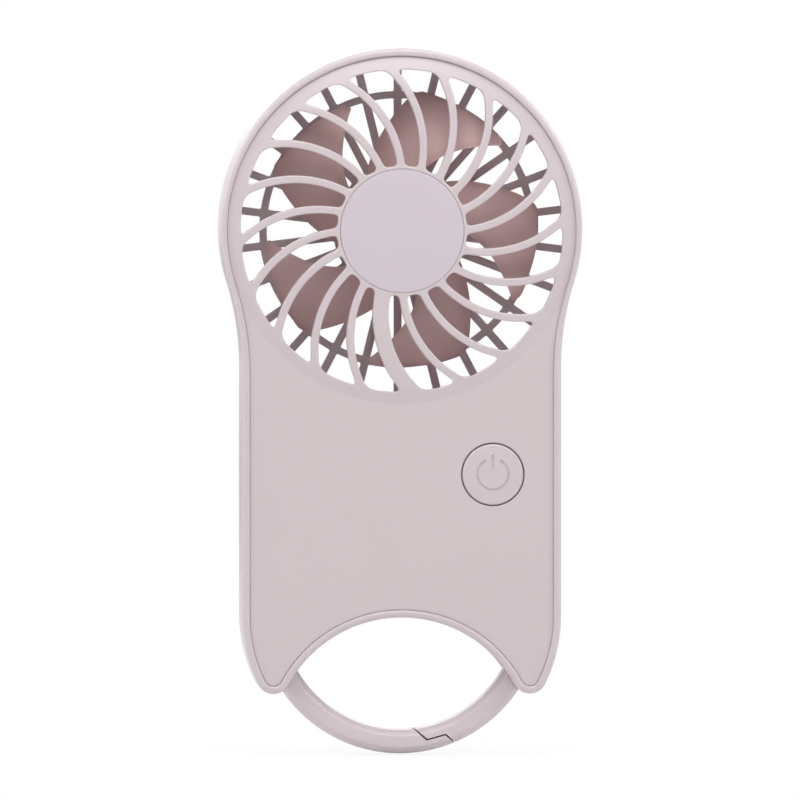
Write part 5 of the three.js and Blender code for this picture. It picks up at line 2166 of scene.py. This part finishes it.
@dataclass
class ChargingPort:
    """The charging port in the right side: a steel sleeve round a black tongue."""

    middle: Point = (-12.2, 3.0)
    mouth_x: float = 33.55
    rear_x: float = 26.25
    floor_x: float = 27.65
    size: Point = (3.2, 8.94)
    corner: float = 1.55
    wall: float = 0.3
    lip: float = 0.12
    tongue: Point = (0.7, 6.7)
    tongue_x: float = 32.75
    tongue_slope: Point = (0.3, 0.2)
    tongue_root: float = 0.05
    mouth_steps: int = 8
    tongue_sharp: float = 20.0

    def stack(
        self, builder: MeshBuilder, sections: Iterable[tuple[float, Sequence[Point]]],
    ) -> list[list[int]]:
        """Adds sections in the YZ plane and joins them one after another.

        Args:
            builder: The mesh that they go into.
            sections: Each section's X and its points round the port's middle.

        Returns:
            The rings' indices.
        """
        middle_y, middle_z = self.middle
        rings = [builder.add((x, middle_y + y, middle_z + z) for y, z in section) for x, section in sections]
        builder.bridge(rings)
        return rings

    def sleeve(self) -> Object:
        """The sleeve with its rounded mouth and its closed rear end.

        Returns:
            The sleeve.
        """

        def box(inset: float) -> list[Point]:
            """The sleeve's section, made smaller all round by an inset."""
            return rounded_box(self.size, self.corner, -inset)

        end = [ORIGIN] * len(box(0.0))
        mouth = []
        for step in range(self.mouth_steps + 1):
            turn = math.pi * step / self.mouth_steps
            inset = self.wall / 2 * (1 - math.cos(turn))
            mouth.append((self.mouth_x - self.lip * (1 - math.sin(turn)), box(inset)))
        builder = MeshBuilder()
        self.stack(builder, [
            (self.rear_x, end), (self.rear_x, box(self.lip)), (self.rear_x + self.lip, box(0.0)),
            *mouth, (self.floor_x, box(self.wall)), (self.floor_x, end),
        ])
        return builder.build("usb_port_skin", sharp=SOFT_SHARP)

    def tongue_piece(self) -> Object:
        """The tongue that carries the contacts.

        Returns:
            The tongue.
        """
        length, inset = self.tongue_slope
        sections = []
        for x, less in (
            (self.floor_x - self.tongue_root, 0.0), (self.tongue_x - length, 0.0), (self.tongue_x, inset),
        ):
            y, z = (side / 2 - less for side in self.tongue)
            sections.append((x, [(y, z), (-y, z), (-y, -z), (y, -z)]))
        builder = MeshBuilder()
        rings = self.stack(builder, sections)
        builder.faces += [tuple(rings[0]), tuple(rings[-1])]
        return builder.build("port_tongue", sharp=self.tongue_sharp)


@dataclass(frozen=True)
class Lamp:
    """A square area light: its place and size in metres and its power in watts."""

    name: str
    place: Place
    size: float
    power: float


@dataclass
class Studio:
    """Floor, backdrop light, lamps and camera, with its sizes in metres."""

    floor_colour: Place = (0.86, 0.86, 0.86)
    floor_roughness: float = 0.9
    floor_specular: float = 0.1
    world_light: float = 0.16
    fade_end: float = 0.09
    least_white: float = 0.75
    floor_z: float = -0.0457
    floor_reach: float = 3.0
    aim: Place = (0.0, -0.012, 0.03)
    distance: float = 3.2
    azimuth: float = math.radians(-2.7)
    elevation: float = math.radians(1.6)
    view_width: float = 0.1705
    sensor: float = 36.0
    lamps: tuple[Lamp, ...] = (
        Lamp("top", (0.0, -0.2, 0.6), 0.5, 1.0),
        Lamp("upper", (0.0, -0.36, 0.42), 0.3, 1.02),
        Lamp("left", (-0.7, -0.28, 0.5), 0.55, 2.5),
        Lamp("right", (0.7, -0.28, 0.5), 0.55, 2.8),
        Lamp("left_side", (-0.8, 0.2, 0.4), 0.5, 2.0),
        Lamp("right_side", (0.8, 0.2, 0.4), 0.5, 1.6),
        Lamp("back", (0.0, 0.8, 0.6), 0.9, 4.2),
    )

    def floor(self) -> Object:
        """The plain pale floor under the hoop.

        To the camera it turns white round the fan, so that no horizon shows.

        Returns:
            The floor.
        """
        mesh = bpy.data.meshes.new("floor")
        reach = self.floor_reach
        corners = ((-reach, -reach), (reach, -reach), (reach, reach), (-reach, reach))
        mesh.from_pydata([(x, y, self.floor_z) for x, y in corners], [], [(0, 1, 2, 3)])
        material = bpy.data.materials.new("floor_paper")
        material.use_nodes = True
        wires = Wiring(material.node_tree)
        nodes = material.node_tree.nodes
        shader = nodes["Principled BSDF"]
        wires.feed(shader, {
            "Base Color": (*self.floor_colour, 1.0), "Roughness": self.floor_roughness,
            "Specular IOR Level": self.floor_specular,
        })
        white = wires.node("ShaderNodeEmission")
        place = wires.node("ShaderNodeTexCoord").outputs["Object"]
        reached = wires.node("ShaderNodeVectorMath", {0: place}, operation="LENGTH").outputs["Value"]
        fade = wires.node("ShaderNodeMapRange", {
            "Value": reached, "From Min": 0.0, "From Max": self.fade_end, "To Min": self.least_white,
        }, interpolation_type="SMOOTHSTEP")
        rays = wires.node("ShaderNodeLightPath").outputs
        seen = wires.maths("MULTIPLY", fade.outputs["Result"], rays["Is Camera Ray"])
        mix = wires.node("ShaderNodeMixShader", {"Fac": seen, 1: shader.outputs[0], 2: white.outputs[0]})
        wires.feed(nodes["Material Output"], {"Surface": mix.outputs[0]})
        mesh.materials.append(material)
        return linked("floor", mesh)

    def world(self) -> None:
        """A white background to the camera, glossy and transmission rays, and soft light to the rest."""
        world = bpy.data.worlds.new("studio")
        world.use_nodes = True
        bpy.context.scene.world = world
        wires = Wiring(world.node_tree)
        rays = wires.node("ShaderNodeLightPath").outputs
        seen = wires.maths("MAXIMUM", rays["Is Camera Ray"], rays["Is Glossy Ray"])
        seen = wires.maths("MAXIMUM", seen, rays["Is Transmission Ray"])
        light = wires.node("ShaderNodeMapRange", {"Value": seen, "To Min": self.world_light, "To Max": 1.0})
        wires.feed(world.node_tree.nodes["Background"], {
            "Color": (1.0, 1.0, 1.0, 1.0), "Strength": light.outputs["Result"],
        })

    def light(self, lamp: Lamp) -> None:
        """Adds a lamp that faces the fan.

        Args:
            lamp: The lamp.
        """
        data = bpy.data.lights.new(lamp.name, "AREA")
        data.size = lamp.size
        data.energy = lamp.power
        item = linked(lamp.name, data)
        item.location = lamp.place
        aim = Vector((0.0, 0.0, self.aim[2])) - item.location
        item.rotation_euler = aim.to_track_quat("-Z", "Y").to_euler()

    def camera(self) -> None:
        """The camera at the photograph's angle, with its long lens."""
        data = bpy.data.cameras.new("camera")
        data.sensor_width = self.sensor
        data.lens = self.sensor * self.distance / self.view_width
        item = linked("camera", data)
        level = math.cos(self.elevation)
        back = Vector((
            math.sin(self.azimuth) * level, -math.cos(self.azimuth) * level, math.sin(self.elevation),
        ))
        item.location = Vector(self.aim) + back * self.distance
        item.rotation_euler = (-back).to_track_quat("-Z", "Y").to_euler()
        bpy.context.scene.camera = item

    def build(self) -> None:
        """Builds the whole studio: soft lights all round, like a light tent."""
        self.floor()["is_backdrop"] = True
        self.world()
        for lamp in self.lamps:
            self.light(lamp)
        self.camera()
        bpy.context.scene.view_settings.view_transform = "Standard"


class PocketFan:
    """The whole fan: builds each piece, dresses it and ties it to its body."""

    def __init__(self, frame: dict) -> None:
        """Keeps the frame and builds the shared finishes and trees.

        Args:
            frame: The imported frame.
        """
        self.frame = frame
        self.wardrobe = Wardrobe()
        self.arrays = RadialArray()
        self.copies = PlacedCopies()

    def add(self, item: Object, body: Body, slot: Slot, *nodes: str) -> None:
        """Dresses a piece, ties it to its body and lets it stand for its CAD nodes.

        Args:
            item: The piece.
            body: The body that it rides on.
            slot: The slot of its finish.
            nodes: The CAD nodes that it replaces, if any.
        """
        self.wardrobe.dress(item, slot.value)
        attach(item, body.value)
        if nodes:
            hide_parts(*nodes)
        LOG.info("%s: %d faces, %s, %s", item.name, len(item.data.polygons), body.value, slot.value)

    def dress_nodes(self) -> None:
        """Gives every CAD node its slot's finish."""
        for row in self.frame["record"]["subparts"]:
            self.wardrobe.dress(self.frame["nodes"][row["node"]], row["material_slot"])

    def build(self) -> None:
        """Builds all the pieces."""
        self.dress_nodes()
        case = Case()
        plastic, blades, steel = (
            self.wardrobe.materials[slot.value] for slot in (Slot.CASE, Slot.BLADE, Slot.STEEL)
        )
        front = FrontCover(case).build(self.arrays, plastic)
        self.add(front, Body.HOUSING, Slot.CASE, "front_cover")
        self.add(RearCover(case).build(self.arrays, plastic), Body.HOUSING, Slot.CASE, "rear_cover")
        self.add(HubBadge().build(), Body.HOUSING, Slot.BADGE, "hub_badge")
        self.add(Impeller().build(self.arrays, blades), Body.ROTOR, Slot.BLADE, "impeller")
        self.add(case.button.build(), Body.BUTTON, Slot.CASE, "power_button")
        clip = ClipParts(case.hoop)
        self.add(clip.fixed(), Body.HOUSING, Slot.CLIP, "clip_hoop")
        self.add(clip.gate(), Body.GATE, Slot.CLIP, "clip_gate")
        port = ChargingPort()
        self.add(port.sleeve(), Body.HOUSING, Slot.STEEL, "usb_port")
        self.add(port.tongue_piece(), Body.HOUSING, Slot.BLACK)
        screws = case.screws.build(self.copies, case.hoop, steel)
        nodes = [f"case_screw_{number}" for number, _ in enumerate(case.screws.places(case.hoop), 1)]
        self.add(screws, Body.HOUSING, Slot.STEEL, *nodes)


def main() -> None:
    """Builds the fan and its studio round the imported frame."""
    logging.basicConfig(level=logging.INFO, format="%(name)s: %(message)s")
    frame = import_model()
    frame_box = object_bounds()
    PocketFan(frame).build()
    Studio().build()
    [[list(corner) for corner in box] for box in (frame_box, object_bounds())]


if __name__ == "__main__":
    main()
